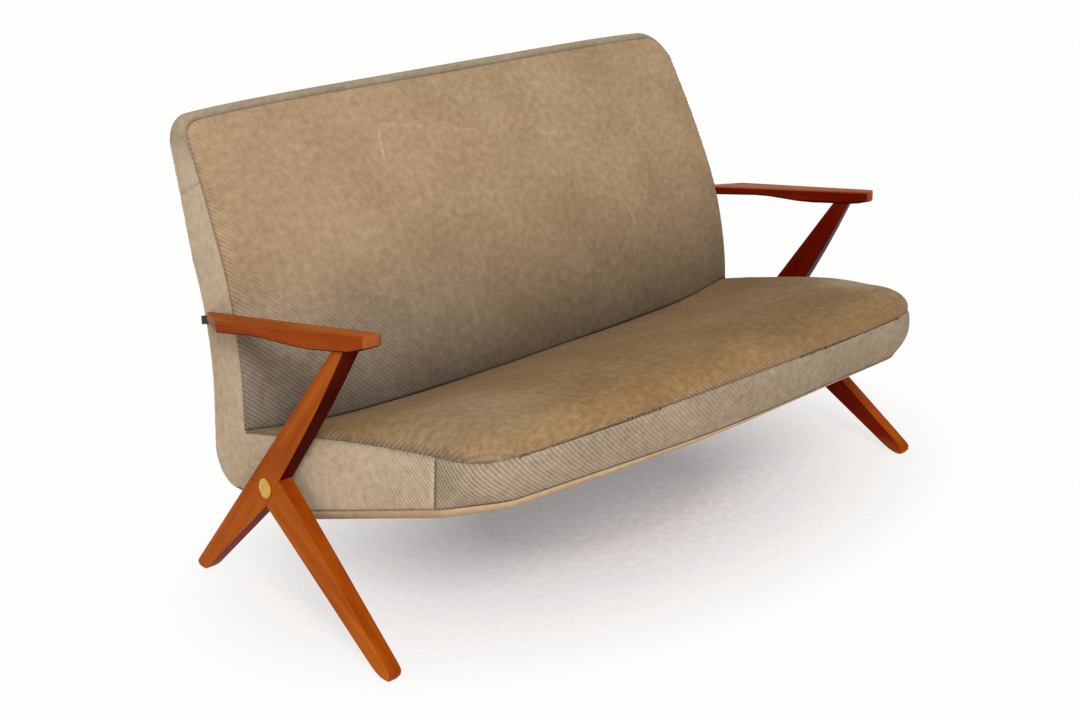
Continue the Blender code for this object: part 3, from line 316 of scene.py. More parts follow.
def back_edges(s, depth, corners, length):
    """Left and right edge of the back at height s, drawn in round its two top corners."""
    side = side_x(*back_yz(s, depth))
    edges = []
    for name, sign in SIDES:
        corner = corners[name]
        rise = np.maximum(0.0, s - (length - corner))
        edges.append(sign * (side - corner + np.sqrt(np.maximum(0.0, corner ** 2 - rise ** 2))))
    return edges


def arched(grid):
    """Lets the top edge of the back fall a little towards its two ends."""
    near_top = smooth((grid[..., 2] - 0.62) / 0.15)
    out = grid.copy()
    out[..., 2] -= TOP_ARCH * (np.abs(grid[..., 0]) / side_x(0.4, BACK_HEIGHT)) ** 6 * near_top
    return out


def back_bulge(u, s):
    """How far the padding stands out, at u across the back from -1 to 1."""
    top = 1.0 - np.clip(s / BACK_LENGTH, 0.0, 1.0) ** 8
    low = BACK_SWELL * (1.0 - smooth((s + BEND_HEIGHT - SEAT_REAR_HEIGHT) / SWELL_REACH))
    return (BACK_CROWN * top + low) * (1.0 - np.abs(u) ** 4)


def back_start(u):
    """Where the back comes out of the seat."""
    low = SEAT_REAR_HEIGHT - BEND_HEIGHT
    return seat_top(u * side_x(*back_yz(low, 0.0)), BACK_FACE - back_bulge(u, low)) - BEND_HEIGHT


# Grids of points, each (rows, columns, 3)

def points(x, y, z):
    return np.stack(np.broadcast_arrays(x, y, z), axis=-1).astype(float)


def pair(a, b):
    return np.stack(np.broadcast_arrays(a, b), axis=-1)


def join(*parts):
    return np.concatenate(parts)


def quarter(count):
    """Angles of a quarter turn."""
    return np.linspace(0.0, math.pi / 2, count)


def corner_radius(turn, inset, slant, share):
    """Radius of the rounded front corner: full at its top, share 0, and tucked in at its foot, share 1."""
    fill = lerp(CORNER_FILL, -CORNER_TUCK, share ** CORNER_FULLNESS)
    fill = fill + CORNER_SWELL * 4.0 * share * (1.0 - share)
    return SEAT_CORNER - inset - slant * np.sin(turn) + fill * np.sin(2.0 * turn) ** 2


def seat_plan(inset, slant, height, rear, along, round_steps, columns, share=0.0):
    """Rows from the back to the front edge, the last ones round the front corners."""
    turn = quarter(round_steps)
    radius = corner_radius(turn, inset, slant, share)
    ys = lerp(rear, CORNER_Y, np.linspace(0.0, 1.0, along, endpoint=False))
    straight = side_x(ys, height(ys)) - inset
    half = join(straight, corner_x(height(CORNER_Y)) + radius * np.cos(turn))
    ys = join(ys, CORNER_Y - radius * np.sin(turn))
    u = 2.0 * spread(columns) - 1.0
    bow = FRONT_BOW * np.maximum(0.0, (BACK_FACE - ys) / (BACK_FACE - ys[-1])) ** 3
    return half[:, None] * u, ys[:, None] - bow[:, None] * (1.0 - u * u)


def front_plan(z, inset, slant, round_steps, columns, share=0.0):
    """The front edge from the left corner seam round to the right one."""
    turn = quarter(round_steps)
    radius = corner_radius(turn, inset, slant, share)
    middle = corner_x(z)
    x = middle + radius * np.cos(turn)
    y = CORNER_Y - radius * np.sin(turn)
    u = np.linspace(-1.0, 1.0, columns)[1:-1]
    return join(-x, u * middle, x[::-1]), join(y, y[-1] - FRONT_BOW * (1.0 - u * u), y[::-1])


def along_rows(grid):
    """Distance run along each column of points, from the first row."""
    step = np.linalg.norm(np.diff(grid, axis=0), axis=-1)
    return join(np.zeros((1, grid.shape[1])), np.cumsum(step, axis=0))


def along_columns(grid):
    return along_rows(grid.swapaxes(0, 1)).swapaxes(0, 1)


def facing(grid, outward):
    """Unit normals of a grid, turned to the side that outward points to.

    A corner, where two edges may run on in one line, takes the normal of the point inside it.
    """
    normal = np.cross(np.gradient(grid, axis=1), np.gradient(grid, axis=0))
    normal /= np.maximum(np.linalg.norm(normal, axis=-1, keepdims=True), 1e-12)
    if np.dot(normal.reshape(-1, 3).mean(0), outward) < 0.0:
        normal = -normal
    normal[np.ix_((0, -1), (0, -1))] = normal[np.ix_((1, -2), (1, -2))]
    return normal


def sewn(grid, outward, edges, dip=SEAM_DIP, roll=SEAM_ROLL):
    """Pulls the panel into its seams: edges names first, last, left or right."""
    rows, columns = along_rows(grid), along_columns(grid)
    far = {"first": rows, "last": rows[-1] - rows, "left": columns, "right": columns[:, -1:] - columns}
    pull = np.zeros(grid.shape[:2])
    for name in edges:
        run = columns if name in ("first", "last") else rows
        t = np.clip(1.0 - far[name] / roll, 0.0, 1.0)
        pucker = 1.0 + PUCKER * np.sin(2.0 * math.pi * run / PUCKER_STEP)
        pull = np.maximum(pull, dip * pucker * (1.0 - np.sqrt(1.0 - t * t)))
    return grid - facing(grid, outward) * pull[..., None]


# Objects

def add_object(name, mesh):
    piece = bpy.data.objects.new(name, mesh)
    bpy.context.scene.collection.objects.link(piece)
    return piece


def mesh_object(name, vertices, faces, uvs=None, smooth_faces=True):
    mesh = bpy.data.meshes.new(name)
    mesh.from_pydata([tuple(v) for v in vertices], [], [tuple(f) for f in faces])
    if uvs is not None:
        layer = mesh.uv_layers.new(name="cloth")
        corner = np.empty(len(mesh.loops), dtype=np.int64)
        mesh.loops.foreach_get("vertex_index", corner)
        layer.data.foreach_set("uv", np.asarray(uvs)[corner].astype(np.float32).ravel())
    if smooth_faces:
        mesh.shade_smooth()
    return add_object(name, mesh)


def quads(rows, columns, start, flip):
    a = np.arange(rows * columns).reshape(rows, columns) + start
    cells = np.stack([a[:-1, :-1], a[:-1, 1:], a[1:, 1:], a[1:, :-1]], axis=-1).reshape(-1, 4)
    return cells[:, ::-1] if flip else cells


def slab(name, outer, inner, uv, outward):
    """A closed piece between two grids of the same size."""
    rows, columns = outer.shape[:2]
    count = rows * columns
    middle = outer[rows // 2, columns // 2]
    across = outer[rows // 2, columns // 2 + 1] - middle
    along = outer[rows // 2 + 1, columns // 2] - middle
    flip = np.dot(np.cross(across, along), outward) < 0.0
    faces = [quads(rows, columns, 0, flip), quads(rows, columns, count, not flip)]
    index = np.arange(count).reshape(rows, columns)
    rim = join(index[0, :], index[1:, -1], index[-1, -2::-1], index[-2:0:-1, 0])
    nearby = np.roll(rim, -1)
    skirt = np.stack([rim, rim + count, nearby + count, nearby], axis=-1)
    faces.append(skirt[:, ::-1] if flip else skirt)
    vertices = join(outer.reshape(-1, 3), inner.reshape(-1, 3)) + SHIFT
    uvs = np.tile(uv.reshape(-1, 2), (2, 1))
    return mesh_object(name, vertices, join(*faces), uvs)


def sheet_of(name, grid, outward, uv):
    """A piece of cloth whose outer side is the grid."""
    return slab(name, grid, grid - facing(grid, outward) * FABRIC, uv, outward)


def paint(piece, name, values):
    """Stores a value for each point of the outer and inner side of a slab."""
    half = len(piece.data.vertices) // 2
    outer = np.ravel(values) if np.ndim(values) else np.full(half, values)
    layer = piece.data.attributes.new(name, "FLOAT", "POINT")
    layer.data.foreach_set("value", np.tile(outer, 2).astype(np.float32))


def stitches(name, path, normal, slant, material):
    """A row of small slanted threads over a seam."""
    run = along_rows(path[:, None])[:, 0]
    angles = 2.0 * math.pi * np.arange(STITCH_SIDES)[:, None] / STITCH_SIDES
    vertices, faces = [], []

    def at(mark, values):
        return np.array([np.interp(mark, run, axis) for axis in values.T])

    for mark in np.arange(STITCH_STEP, run[-1] - STITCH_STEP, STITCH_STEP):
        here, ahead, up = at(mark, path), at(mark + LOOK_AHEAD, path), at(mark, normal)
        up /= np.linalg.norm(up)
        along = (ahead - here) / np.linalg.norm(ahead - here)
        way = np.cross(up, along) * math.cos(slant) + along * math.sin(slant)
        ring = STITCH_RADIUS * (np.cross(way, up) * np.cos(angles) + up * np.sin(angles))
        index = len(vertices) + np.arange(len(STITCH_PROFILE) * STITCH_SIDES).reshape(-1, STITCH_SIDES)
        nearby = np.roll(index, -1, axis=1)
        faces.extend(np.stack([index[:-1], nearby[:-1], nearby[1:], index[1:]], axis=-1).reshape(-1, 4))
        faces.extend((index[0, ::-1], index[-1]))
        for t, size in STITCH_PROFILE:
            middle = here + way * t * STITCH_LENGTH + up * STITCH_RADIUS * (0.6 - 6.0 * t * t) + SHIFT
            vertices.extend(middle + size * ring)
    piece = mesh_object(name, vertices, faces)
    piece.data.materials.append(material)
    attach(piece, "root")


# Materials

def linear(*rgb):
    """A colour written in 0 to 255 display values, for a shader."""
    values = [c / 255.0 for c in rgb]
    return tuple(c / 12.92 if c <= 0.04045 else ((c + 0.055) / 1.055) ** 2.4 for c in values) + (1.0,)


class Nodes:
    """Adds nodes to a tree."""

    def __init__(self, tree):
        self.tree = tree

    def node(self, kind, inputs=(), **settings):
        made = self.tree.nodes.new("ShaderNode" + kind)
        for key, value in settings.items():
            setattr(made, key, value)
        for key, value in dict(inputs).items():
            self.feed(made.inputs[key], value)
        return made

    def feed(self, socket, value):
        if isinstance(value, bpy.types.NodeSocket):
            self.tree.links.new(value, socket)
        else:
            socket.default_value = value

    def place(self):
        return self.node("TexCoord").outputs["Object"]

    def painted(self, name):
        return self.node("Attribute", attribute_name=name).outputs["Fac"]

    def mapped(self, vector, **settings):
        return self.node("Mapping", {"Vector": vector, **settings}).outputs["Vector"]

    def split(self, vector):
        return self.node("SeparateXYZ", {"Vector": vector}).outputs

    def math(self, operation, a, b=0.0):
        return self.node("Math", {0: a, 1: b}, operation=operation).outputs[0]

    def times(self, a, b):
        return self.math("MULTIPLY", a, b)

    def plus(self, a, b):
        return self.math("ADD", a, b)

    def vector(self, operation, a, b):
        return self.node("VectorMath", {0: a, 1: b}, operation=operation).outputs["Vector"]

    def dot(self, a, b):
        return self.node("VectorMath", {0: a, 1: b}, operation="DOT_PRODUCT").outputs["Value"]

    def span(self, value, low, high, first=0.0, last=1.0, kind="LINEAR"):
        """Carries a value from between low and high to between first and last, and holds it there."""
        inputs = {"Value": value, "From Min": low, "From Max": high, "To Min": first, "To Max": last}
        return self.node("MapRange", inputs, interpolation_type=kind).outputs["Result"]

    def scaled(self, value, weight, base):
        return self.plus(self.times(value, weight), base)

    def sum(self, terms):
        """Total of (socket, weight, middle) terms, each taken about its middle."""
        total = None
        for value, weight, middle in terms:
            part = self.times(self.math("SUBTRACT", value, middle), weight)
            total = part if total is None else self.plus(total, part)
        return total

    def noise(self, vector, scale, detail=2.0, rough=0.5):
        inputs = {"Vector": vector, "Scale": scale, "Detail": detail, "Roughness": rough}
        return self.node("TexNoise", inputs).outputs["Fac"]

    def ramp(self, value, places, colours):
        made = self.node("ValToRGB", {"Fac": value})
        band = made.color_ramp
        while len(band.elements) < len(places):
            band.elements.new(0.5)
        for element, place, colour in zip(band.elements, places, colours):
            element.position = place
            element.color = colour
        return made.outputs["Color"]

    def tones(self, value, places, *colours):
        """A ramp between colours written in 0 to 255."""
        return self.ramp(value, places, [linear(*c) for c in colours])

    def blend(self, factor, a, b, mode="MIX"):
        inputs = {0: factor, 6: a, 7: b}
        return self.node("Mix", inputs, data_type="RGBA", blend_type=mode).outputs[2]

    def bump(self, height, strength, distance):
        inputs = {"Height": height, "Strength": strength, "Distance": distance}
        return self.node("Bump", inputs).outputs["Normal"]

    def seen(self):
        """1 for what is looked at, also by mirror or through glass, and 0 for light on its way."""
        rays = self.node("LightPath").outputs
        total = rays["Is Camera Ray"]
        for kind in ("Is Glossy Ray", "Is Transmission Ray"):
            total = self.math("MAXIMUM", total, rays[kind])
        return total


class Shader(Nodes):
    """Builds the node tree of one material."""

    def __init__(self, name):
        self.material = bpy.data.materials.new(name)
        self.material.use_nodes = True
        super().__init__(self.material.node_tree)
        self.surface = self.tree.nodes["Principled BSDF"]

    def set(self, **inputs):
        for key, value in inputs.items():
            self.feed(self.surface.inputs[key.replace("_", " ")], value)

    def stroke(self, uv, start, end, bend, width):
        """A soft line on the cloth between two points, bowed aside by bend."""
        begin = Vector((*start, 0.0))
        way = Vector((*end, 0.0)) - begin
        offset = self.vector("SUBTRACT", uv, begin)
        t = self.dot(offset, way / way.length_squared)
        aside = self.dot(offset, Vector((-way.y, way.x, 0.0)).normalized())
        bow = self.times(self.times(t, self.math("SUBTRACT", 1.0, t)), 4.0 * bend)
        away = self.math("ABSOLUTE", self.math("SUBTRACT", aside, bow))
        line = self.span(away, 0.0, width, 1.0, 0.0, "SMOOTHSTEP")
        from_middle = self.math("ABSOLUTE", self.math("SUBTRACT", t, 0.5))
        return self.times(line, self.span(from_middle, 0.3, 0.5, 1.0, 0.0))


CLOTH_PLACES = (0.08, 0.5, 0.95)
# darker, greyer tones for dirt and for painted shade
SOIL_AND_SHADE_TONES = ((62, 53, 43), (90, 77, 62), (118, 104, 86))
UNWORN = (1.06, 1.20, 1.50, 1.0)     # greys the tan where the cloth is less worn


def cloth(name, tones, angle, marks=()):
    """Coarse diagonal twill, felted and worn: rib, pale, grey and a darkening value are painted on the
    pieces; the darkening stands for dirt and for painted shade.

    Marks are scuffs, drawn as strokes.
    """
    made = Shader(name)
    uv = made.node("UVMap", uv_map="cloth").outputs["UV"]
    rib_mask = made.painted("rib")
    wander = made.noise(uv, 38.0, 2.0)
    turned = made.split(made.mapped(uv, Rotation=(0.0, 0.0, angle)))
    phase = made.times(turned["X"], 2.0 * math.pi / RIB_PITCH)
    phase = made.plus(phase, made.times(wander, 3.0))
    floats = made.times(turned["Y"], 2.0 * math.pi / (RIB_PITCH * 0.62))
    floats = made.math("SINE", made.plus(floats, made.times(phase, 0.5)))
    fuzz = made.noise(uv, 620.0, 3.0, 0.7)
    mottle = made.noise(uv, 70.0, 4.0, 0.62)
    patch = made.noise(uv, 7.0, 3.0, 0.55)
    ribs = made.times(made.math("SINE", phase), rib_mask)
    weave = made.times(floats, made.scaled(rib_mask, 0.8, 0.2))
    value = made.sum([(ribs, 0.13, 0.0), (weave, 0.05, 0.0), (fuzz, 0.75, 0.5), (mottle, 0.6, 0.5),
                      (patch, 0.40, 0.5), (made.painted("pale"), 0.30, 0.0)])
    value = made.plus(value, 0.5)
    for *line, strength in marks:
        scuff = made.times(made.stroke(uv, *line), made.times(mottle, strength))
        value = made.plus(value, scuff)
    colour = made.tones(value, CLOTH_PLACES, *tones)
    # darker, greyer tones where the darkening value is painted: dirt, and painted shade
    colour = made.blend(made.painted("soil_and_shade"), colour, made.tones(value, CLOTH_PLACES, *SOIL_AND_SHADE_TONES))
    colour = made.blend(made.painted("grey"), colour, UNWORN, "MULTIPLY")
    height = made.sum([(ribs, 0.5, 0.0), (weave, 0.25, 0.0), (fuzz, 0.5, 0.5)])
    made.set(Base_Color=colour, Normal=made.bump(height, 0.55, 0.0012), Roughness=0.92, Sheen_Weight=0.03,
             Sheen_Roughness=0.5, Specular_IOR_Level=0.06)
    return made.material


TEAK_PLACES = (0.1, 0.5, 0.9)
# lighter tones for faces turned outward or up, darker tones for the others
TEAK_LIGHTER_TONES = ((140, 62, 8), (174, 87, 14), (200, 114, 30))
TEAK_DARKER_TONES = ((80, 10, 1), (110, 20, 1), (136, 42, 4))
# painted shade for faces turned down
TEAK_UNDERSIDE_SHADE = (58, 6, 1)
WORN_REAR = (205, 150, 112)
WORN_FRONT = (205, 140, 90)
# painted highlight along the edges that face outward, forward and up
EDGE_HIGHLIGHT = (226, 140, 70)


def teak(name, lean, outward, upward, worn_end):
    """Oiled teak, the grain along the board; faces turned outward or up take lighter tones, and faces
    turned down get painted shade.

    Outward and upward say how much lighter, and worn_end how pale the rear end is; the front end is less
    so. A painted highlight lies along the edges that face outward and forward.
    """
    made = Shader(name)
    place = made.place()
    turned = made.mapped(place, Rotation=(lean, 0.0, 0.0))
    figure = made.noise(made.mapped(turned, Scale=(55.0, 2.2, 55.0)), 1.0, 4.0, 0.6)
    fine = made.noise(made.mapped(turned, Scale=(950.0, 26.0, 950.0)), 1.0, 2.0, 0.6)
    broad = made.noise(turned, 7.0, 2.0)
    value = made.sum([(figure, 0.9, 0.5), (fine, 0.30, 0.5), (broad, 0.5, 0.5)])
    value = made.plus(value, 0.5)
    normal = made.node("NewGeometry").outputs["Normal"]
    turn = made.split(normal)
    height = made.split(place)["Z"]
    # share of the lighter tones: on faces turned outward or up, less of it higher up, and more of it at the
    # feet
    lighter_share = made.math("MAXIMUM", made.dot(normal, (outward, 0.0, 0.0)), made.times(turn["Z"], upward))
    lighter_share = made.times(made.span(lighter_share, 0.1, 0.75), made.span(height, 0.14, 0.28, 1.0, 0.7))
    lighter_share = made.math("MAXIMUM", lighter_share, made.span(height, 0.035, 0.0, 0.0, 0.75))
    colour = made.blend(lighter_share, made.tones(value, TEAK_PLACES, *TEAK_DARKER_TONES),
                        made.tones(value, TEAK_PLACES, *TEAK_LIGHTER_TONES))
    # painted highlight along the edges that face outward, forward and up
    edge = made.dot(normal, (0.75 * outward, -0.60, 0.28))
    # painted shade on faces turned down, above the feet
    below = made.times(made.span(turn["Z"], -0.15, -0.5), made.span(height, 0.14, 0.28))
    tints = (
        (made.span(turn["Y"], 0.3, 0.8, 0.0, worn_end), WORN_REAR),
        (made.span(turn["Y"], -0.5, -0.75, 0.0, 0.25 * worn_end), WORN_FRONT),
        (made.span(edge, 0.90, 0.98, 0.0, 0.5), EDGE_HIGHLIGHT),
        (below, TEAK_UNDERSIDE_SHADE),
    )
    for amount, tint in tints:
        colour = made.blend(amount, colour, linear(*tint))
    made.set(Base_Color=colour, Roughness=made.scaled(fine, 0.16, 0.34), Specular_IOR_Level=0.03,
             Normal=made.bump(fine, 0.08, 0.0006))
    return made.material


def plain_wood(name):
    """Sawn beech of the inner frame."""
    made = Shader(name)
    figure = made.noise(made.mapped(made.place(), Scale=(4.0, 40.0, 40.0)), 1.0, 3.0)
    colour = made.tones(figure, (0.3, 0.7), (186, 150, 108), (214, 182, 140))
    made.set(Base_Color=colour, Roughness=0.65, Normal=made.bump(figure, 0.15, 0.001))
    return made.material


def metal(name, dark, light, rough):
    """Metal with a dull, cloudy and lightly scratched face."""
    made = Shader(name)
    place = made.place()
    cloud = made.noise(place, 190.0, 3.0, 0.65)
    scratch = made.noise(made.mapped(place, Scale=(40.0, 900.0, 300.0)), 1.0)
    value = made.plus(made.times(cloud, 0.7), made.times(scratch, 0.3))
    made.set(Base_Color=made.tones(value, (0.3, 0.7), dark, light), Metallic=1.0,
             Roughness=made.scaled(cloud, 0.3, rough), Normal=made.bump(scratch, 0.08, 0.0003))
    return made.material


def thin_cloth(name, dark, light, pitch):
    """Plain weave, for the dust cloth and the webbing."""
    made = Shader(name)
    place = made.place()
    split = made.split(place)
    waves = [made.math("SINE", made.times(split[k], 2.0 * math.pi / pitch)) for k in "XY"]
    weave = made.times(*waves)
    value = made.plus(made.times(weave, 0.25), made.noise(place, 30.0, 3.0))
    made.set(Base_Color=made.tones(value, (0.2, 0.8), dark, light), Roughness=0.9,
             Normal=made.bump(weave, 0.3, 0.0004))
    return made.material


def thread(name, dark, light):
    made = Shader(name)
    value = made.noise(made.place(), 300.0, 2.0)
    made.set(Base_Color=made.tones(value, (0.3, 0.7), dark, light), Roughness=0.9,
             Normal=made.bump(value, 0.2, 0.0003))
    return made.material


# Scuffs on the back: start, end, bow, half width and strength
SCUFFS = (
    ((-0.205, 0.434), (-0.221, 0.356), -0.003, 0.0045, 0.42),
    ((-0.212, 0.432), (-0.090, 0.402), 0.004, 0.0065, 0.20),
    ((-0.110, 0.406), (0.014, 0.380), 0.002, 0.0080, 0.12),
    ((0.132, 0.357), (0.188, 0.349), 0.000, 0.0055, 0.26),
    ((0.250, 0.362), (0.264, 0.346), 0.000, 0.0110, 0.18),
    ((0.402, 0.350), (0.389, 0.312), 0.002, 0.0065, 0.14),
    ((0.296, 0.204), (0.322, 0.122), 0.005, 0.0045, 0.40),
)
CLOTH_BACK = cloth("twill_back", ((112, 92, 69), (160, 135, 104), (195, 173, 142)), BACK_RIB_ANGLE, SCUFFS)
CLOTH_SEAT = cloth("twill_seat", ((96, 72, 42), (137, 108, 71), (180, 152, 114)), RIB_ANGLE)
CLOTH_SIDE = cloth("twill_side", ((132, 116, 93), (192, 173, 144), (226, 210, 182)), RIB_ANGLE)
CLOTH_BAND = cloth("twill_band", ((97, 84, 69), (154, 138, 115), (188, 175, 152)), RIB_ANGLE)
CLOTH_EDGE = cloth("border_cloth", ((144, 120, 90), (180, 156, 120), (202, 182, 150)), RIB_ANGLE)
DUST = thin_cloth("dust_cloth_weave", (26, 24, 22), (50, 46, 42), 0.0016)
THREAD = thread("seam_thread", (86, 72, 58), (124, 106, 86))
PALE_THREAD = thread("pale_thread", (122, 103, 81), (160, 138, 110))


# Upholstery

SEAT_GRID = (70, 26, 150)    # rows to the corners, rows round them, columns
BAND_GRID = (18, 150)        # columns round a corner, and along the front


def finish_cloth(piece, material, rib, replaced, pale=0.0, soil_and_shade=0.0, grey=0.0):
    """Material, painted values and links to the frame of an upholstered piece, a pad or a sheet."""
    for name, value in (("rib", rib), ("pale", pale), ("soil_and_shade", soil_and_shade), ("grey", grey)):
        paint(piece, name, value)
    piece.data.materials.append(material)
    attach(piece, "root")
    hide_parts(*replaced)


def rim_of(values, first_row):
    """Values along the left edge of a grid, its last row and back along the right edge."""
    return join(values[first_row:, 0], values[-1, 1:-1], values[::-1, -1])


def make_seat():
    x, y = seat_plan(0.0, 0.0, seam_z, BACK_FACE - GAP, *SEAT_GRID)
    z = seat_top(x, y)
    for side in (-1.0, 1.0):
        z = z - SEAT_HOLLOW * spot(x, y, (side * HOLLOW_PLACE, 0.0), HOLLOW_SIZE)
    z = z + ripple(x, y, *SEAT_RIPPLE)
    away = np.abs((y - CREASE_START[1]) - CREASE_SLOPE * (x - CREASE_START[0]))
    along = smooth((x + 0.57) / 0.04) * (1.0 - smooth((x + 0.50) / 0.16))
    z = z - CREASE_DEPTH * along * bell(away / CREASE_WIDTH)
    grid = sewn(points(x, y, z), (0, 0, 1), ("left", "right", "last"), SEAT_SEAM_DIP)
    low_x, low_y = seat_plan(PAD_INSET, PAD_SLANT, seam_z, BACK_FACE - GAP, *SEAT_GRID, PAD_SHARE)
    base = points(low_x, low_y, seam_z(low_y) - SEAT_PAD)
    run, cross = along_rows(grid), along_columns(grid)
    uv = pair(cross - cross[:, -1:] / 2.0, -run)
    piece = slab("seat_cushion", grid, base, uv, (0, 0, 1))

    inward = np.minimum(run[-1] - run, np.minimum(cross, cross[:, -1:] - cross))
    unworn_edge = bell(inward / 0.014)
    far_right = spot(x, y, (0.52, -0.24), (0.08, 0.09))
    pale = 0.90 * far_right + 0.40 * spot(x, y, (-0.47, -0.26), (0.13, 0.12))
    # painted shade in the seam round the seat's edge, and darker towards the front right
    soil_and_shade = 0.45 * bell(inward / 0.006)
    soil_and_shade = soil_and_shade + 0.14 * smooth(x / 0.30) * smooth((-0.12 - y) / 0.12) * (1.0 - far_right)
    grey = np.clip(2.0 * pale + 0.8 * unworn_edge, 0.0, 1.0)
    rib = 0.12 + 0.88 * unworn_edge
    finish_cloth(piece, CLOTH_SEAT, rib, ("seat_top_cover", "seat_padding"), pale, soil_and_shade, grey)

    edge = rim_of(grid, 1)
    outward = np.zeros_like(edge)
    outward[:, :2] = edge[:, :2] / np.linalg.norm(edge[:, :2], axis=1, keepdims=True)
    stitches("seat_seam", edge, rim_of(facing(grid, (0, 0, 1)), 1) + outward, STITCH_SLANT, THREAD)


def make_front_band():
    seam = seam_z(CORNER_Y)
    top = seat_top(*front_plan(seam, 0.0, 0.0, *BAND_GRID)) - GAP
    rows = []
    for share in np.linspace(0.0, 1.0, 16):
        slant = FRONT_SLANT * share - BAND_BULGE * 4.0 * share * (1.0 - share)
        x, y = front_plan(lerp(seam, under_z(CORNER_Y), share), 0.0, slant, *BAND_GRID, share)
        rows.append(points(x, y, lerp(top, border_z(x, y) + GAP, share)))
    grid = sewn(np.array(rows), (0, -1, 0), ("first",), SEAT_SEAM_DIP)
    grid = sewn(grid, (0, -1, 0), ("last", "left", "right"), FLAT_SEAM_DIP, FLAT_SEAM_ROLL)
    run = along_columns(grid)
    uv = pair((run + run.mean(axis=0)) / 2.0, grid[..., 2])
    piece = sheet_of("front_band_cover", grid, (0, -1, 0), uv)

    x = grid[..., 0]
    rib = lerp(1.06, 0.29, smooth((x + 0.52) / 0.75))
    pale = 0.18 * (1.0 - smooth((x + 0.56) / 0.22))
    # darker towards the right middle of the band, less so at its right end
    soil_and_shade = 0.20 * smooth((x + 0.05) / 0.35) * (1.0 - 0.7 * smooth((x - 0.38) / 0.12))
    finish_cloth(piece, CLOTH_BAND, rib, ("front_band",), pale, soil_and_shade)
    normal = facing(grid, (0, -1, 0))
    for name, column in (("left", 0), ("right", -1)):
        stitches("corner_seam_" + name, grid[:, column], normal[:, column], STITCH_SLANT / 2, THREAD)


def border_plan(inset):
    """The lower edge from the left rear round the front to the right rear."""
    ys = np.linspace(ROUND_Y - GAP, CORNER_Y, 60, endpoint=False)
    x = side_x(ys, under_z(ys)) - inset
    front_x, front_y = front_plan(under_z(CORNER_Y), inset, FRONT_SLANT, 18, 120, 1.0)
    return join(-x, front_x, x[::-1]), join(ys, front_y, ys[::-1])


def make_border():
    x, y = border_plan(0.0)
    bottom = bottom_z(x, y)
    height = border_z(x, y) - GAP - bottom
    rows = []
    for turn in quarter(14):
        x, y = border_plan(BORDER_CURL * (1.0 - math.cos(turn)) ** 1.2)
        rows.append(points(x, y, bottom + height * (1.0 - math.sin(turn))))
    grid = sewn(np.array(rows), (0, -1, -1), ("first",), BORDER_SEAM_DIP, BORDER_SEAM_ROLL)
    uv = pair(along_columns(grid), along_rows(grid))
    piece = sheet_of("lower_border_cover", grid, (0, -1, -0.2), uv)
    finish_cloth(piece, CLOTH_EDGE, 0.12, ("lower_border",))


def make_dust_cover():
    x, y = seat_plan(BORDER_CURL, FRONT_SLANT, under_z, ROUND_Y - GAP, 50, 12, 70, 1.0)
    rows, columns = x.shape
    across = np.sin(math.pi * spread(columns))[None, :]
    along = np.sin(math.pi * np.linspace(0.0, 1.0, rows))[:, None]
    low = points(x, y, bottom_z(x, y) - DUST_SAG * across * along)
    piece = slab("dust_cover", low, low + (0.0, 0.0, DUST_THICK), pair(x, y), (0, 0, -1))
    finish_cloth(piece, DUST, 0.0, ("dust_cloth",))


def make_back():
    u = 2.0 * spread(180) - 1.0
    share = np.linspace(0.0, 1.0, 84, endpoint=False)[:, None]
    start = back_start(u)[None, :]
    straight = FRONT_LENGTH - BACK_CORNER["right"]
    round_s = straight + BACK_CORNER["right"] * np.sin(quarter(22))
    low = start + (straight - start) * share
    s = join(low, np.broadcast_to(round_s[:, None], (len(round_s), len(u))))
    left, right = back_edges(s, 0.0, BACK_CORNER, FRONT_LENGTH)
    x = np.abs(u) * np.where(u < 0.0, left, right)
    y, z = back_yz(s, -back_bulge(u[None, :], s))
    y = y + ripple(x, s, *BACK_RIPPLE)
    grid = sewn(arched(points(x, y, z)), (0, -1, 0), ("left", "right", "last"))
    pad = LINER + lerp(BACK_PAD, BACK_PAD_TOP, np.clip(s / BACK_LENGTH, 0.0, 1.0))
    rear = arched(points(x * (1.0 - 2.0 * LINER), *back_yz(s, pad)))
    piece = slab("back_cushion", grid, rear, pair(x, s), (0, -1, 0))

    height = np.clip(s / BACK_LENGTH, 0.0, 1.0)
    from_left = along_columns(grid)
    grey = (1.0 - smooth(from_left / 0.68)) * (1.0 - smooth((height - 0.05) / 0.45))
    rib = 0.05 + 0.85 * grey
    rib = rib + 0.45 * np.exp(-from_left / 0.05) * (1.0 - smooth((height - 0.50) / 0.30))
    rib = np.clip(rib + 0.5 * bell(from_left / 0.018), 0.0, 1.0)
    # painted shade: darker towards the foot of the back, where it meets the seat, less so at the far left
    # and right, and darker in the seams at its sides
    soil_and_shade = np.clip(1.0 - (s - start) / 0.31, 0.0, 1.0) ** 1.3
    soil_and_shade = soil_and_shade * lerp(0.72, 1.0, smooth((x + 0.62) / 0.30)) * lerp(1.0, 0.84, smooth((x - 0.20) / 0.30))
    seam = np.minimum(from_left, from_left[:, -1:] - from_left)
    soil_and_shade = np.maximum(soil_and_shade, 0.28 * bell(seam / 0.005))
    finish_cloth(piece, CLOTH_BACK, rib, ("back_front_cover", "back_padding"), soil_and_shade=soil_and_shade, grey=grey)

    path = rim_of(grid, 0)
    beyond = path - np.array((0.0, path[:, 1].mean(), 0.5))
    beyond[:, 1] = 0.0
    beyond /= np.linalg.norm(beyond, axis=1, keepdims=True)
    stitches("back_seam", path, rim_of(facing(grid, (0, -1, 0)), 0) + beyond, STITCH_SLANT, PALE_THREAD)


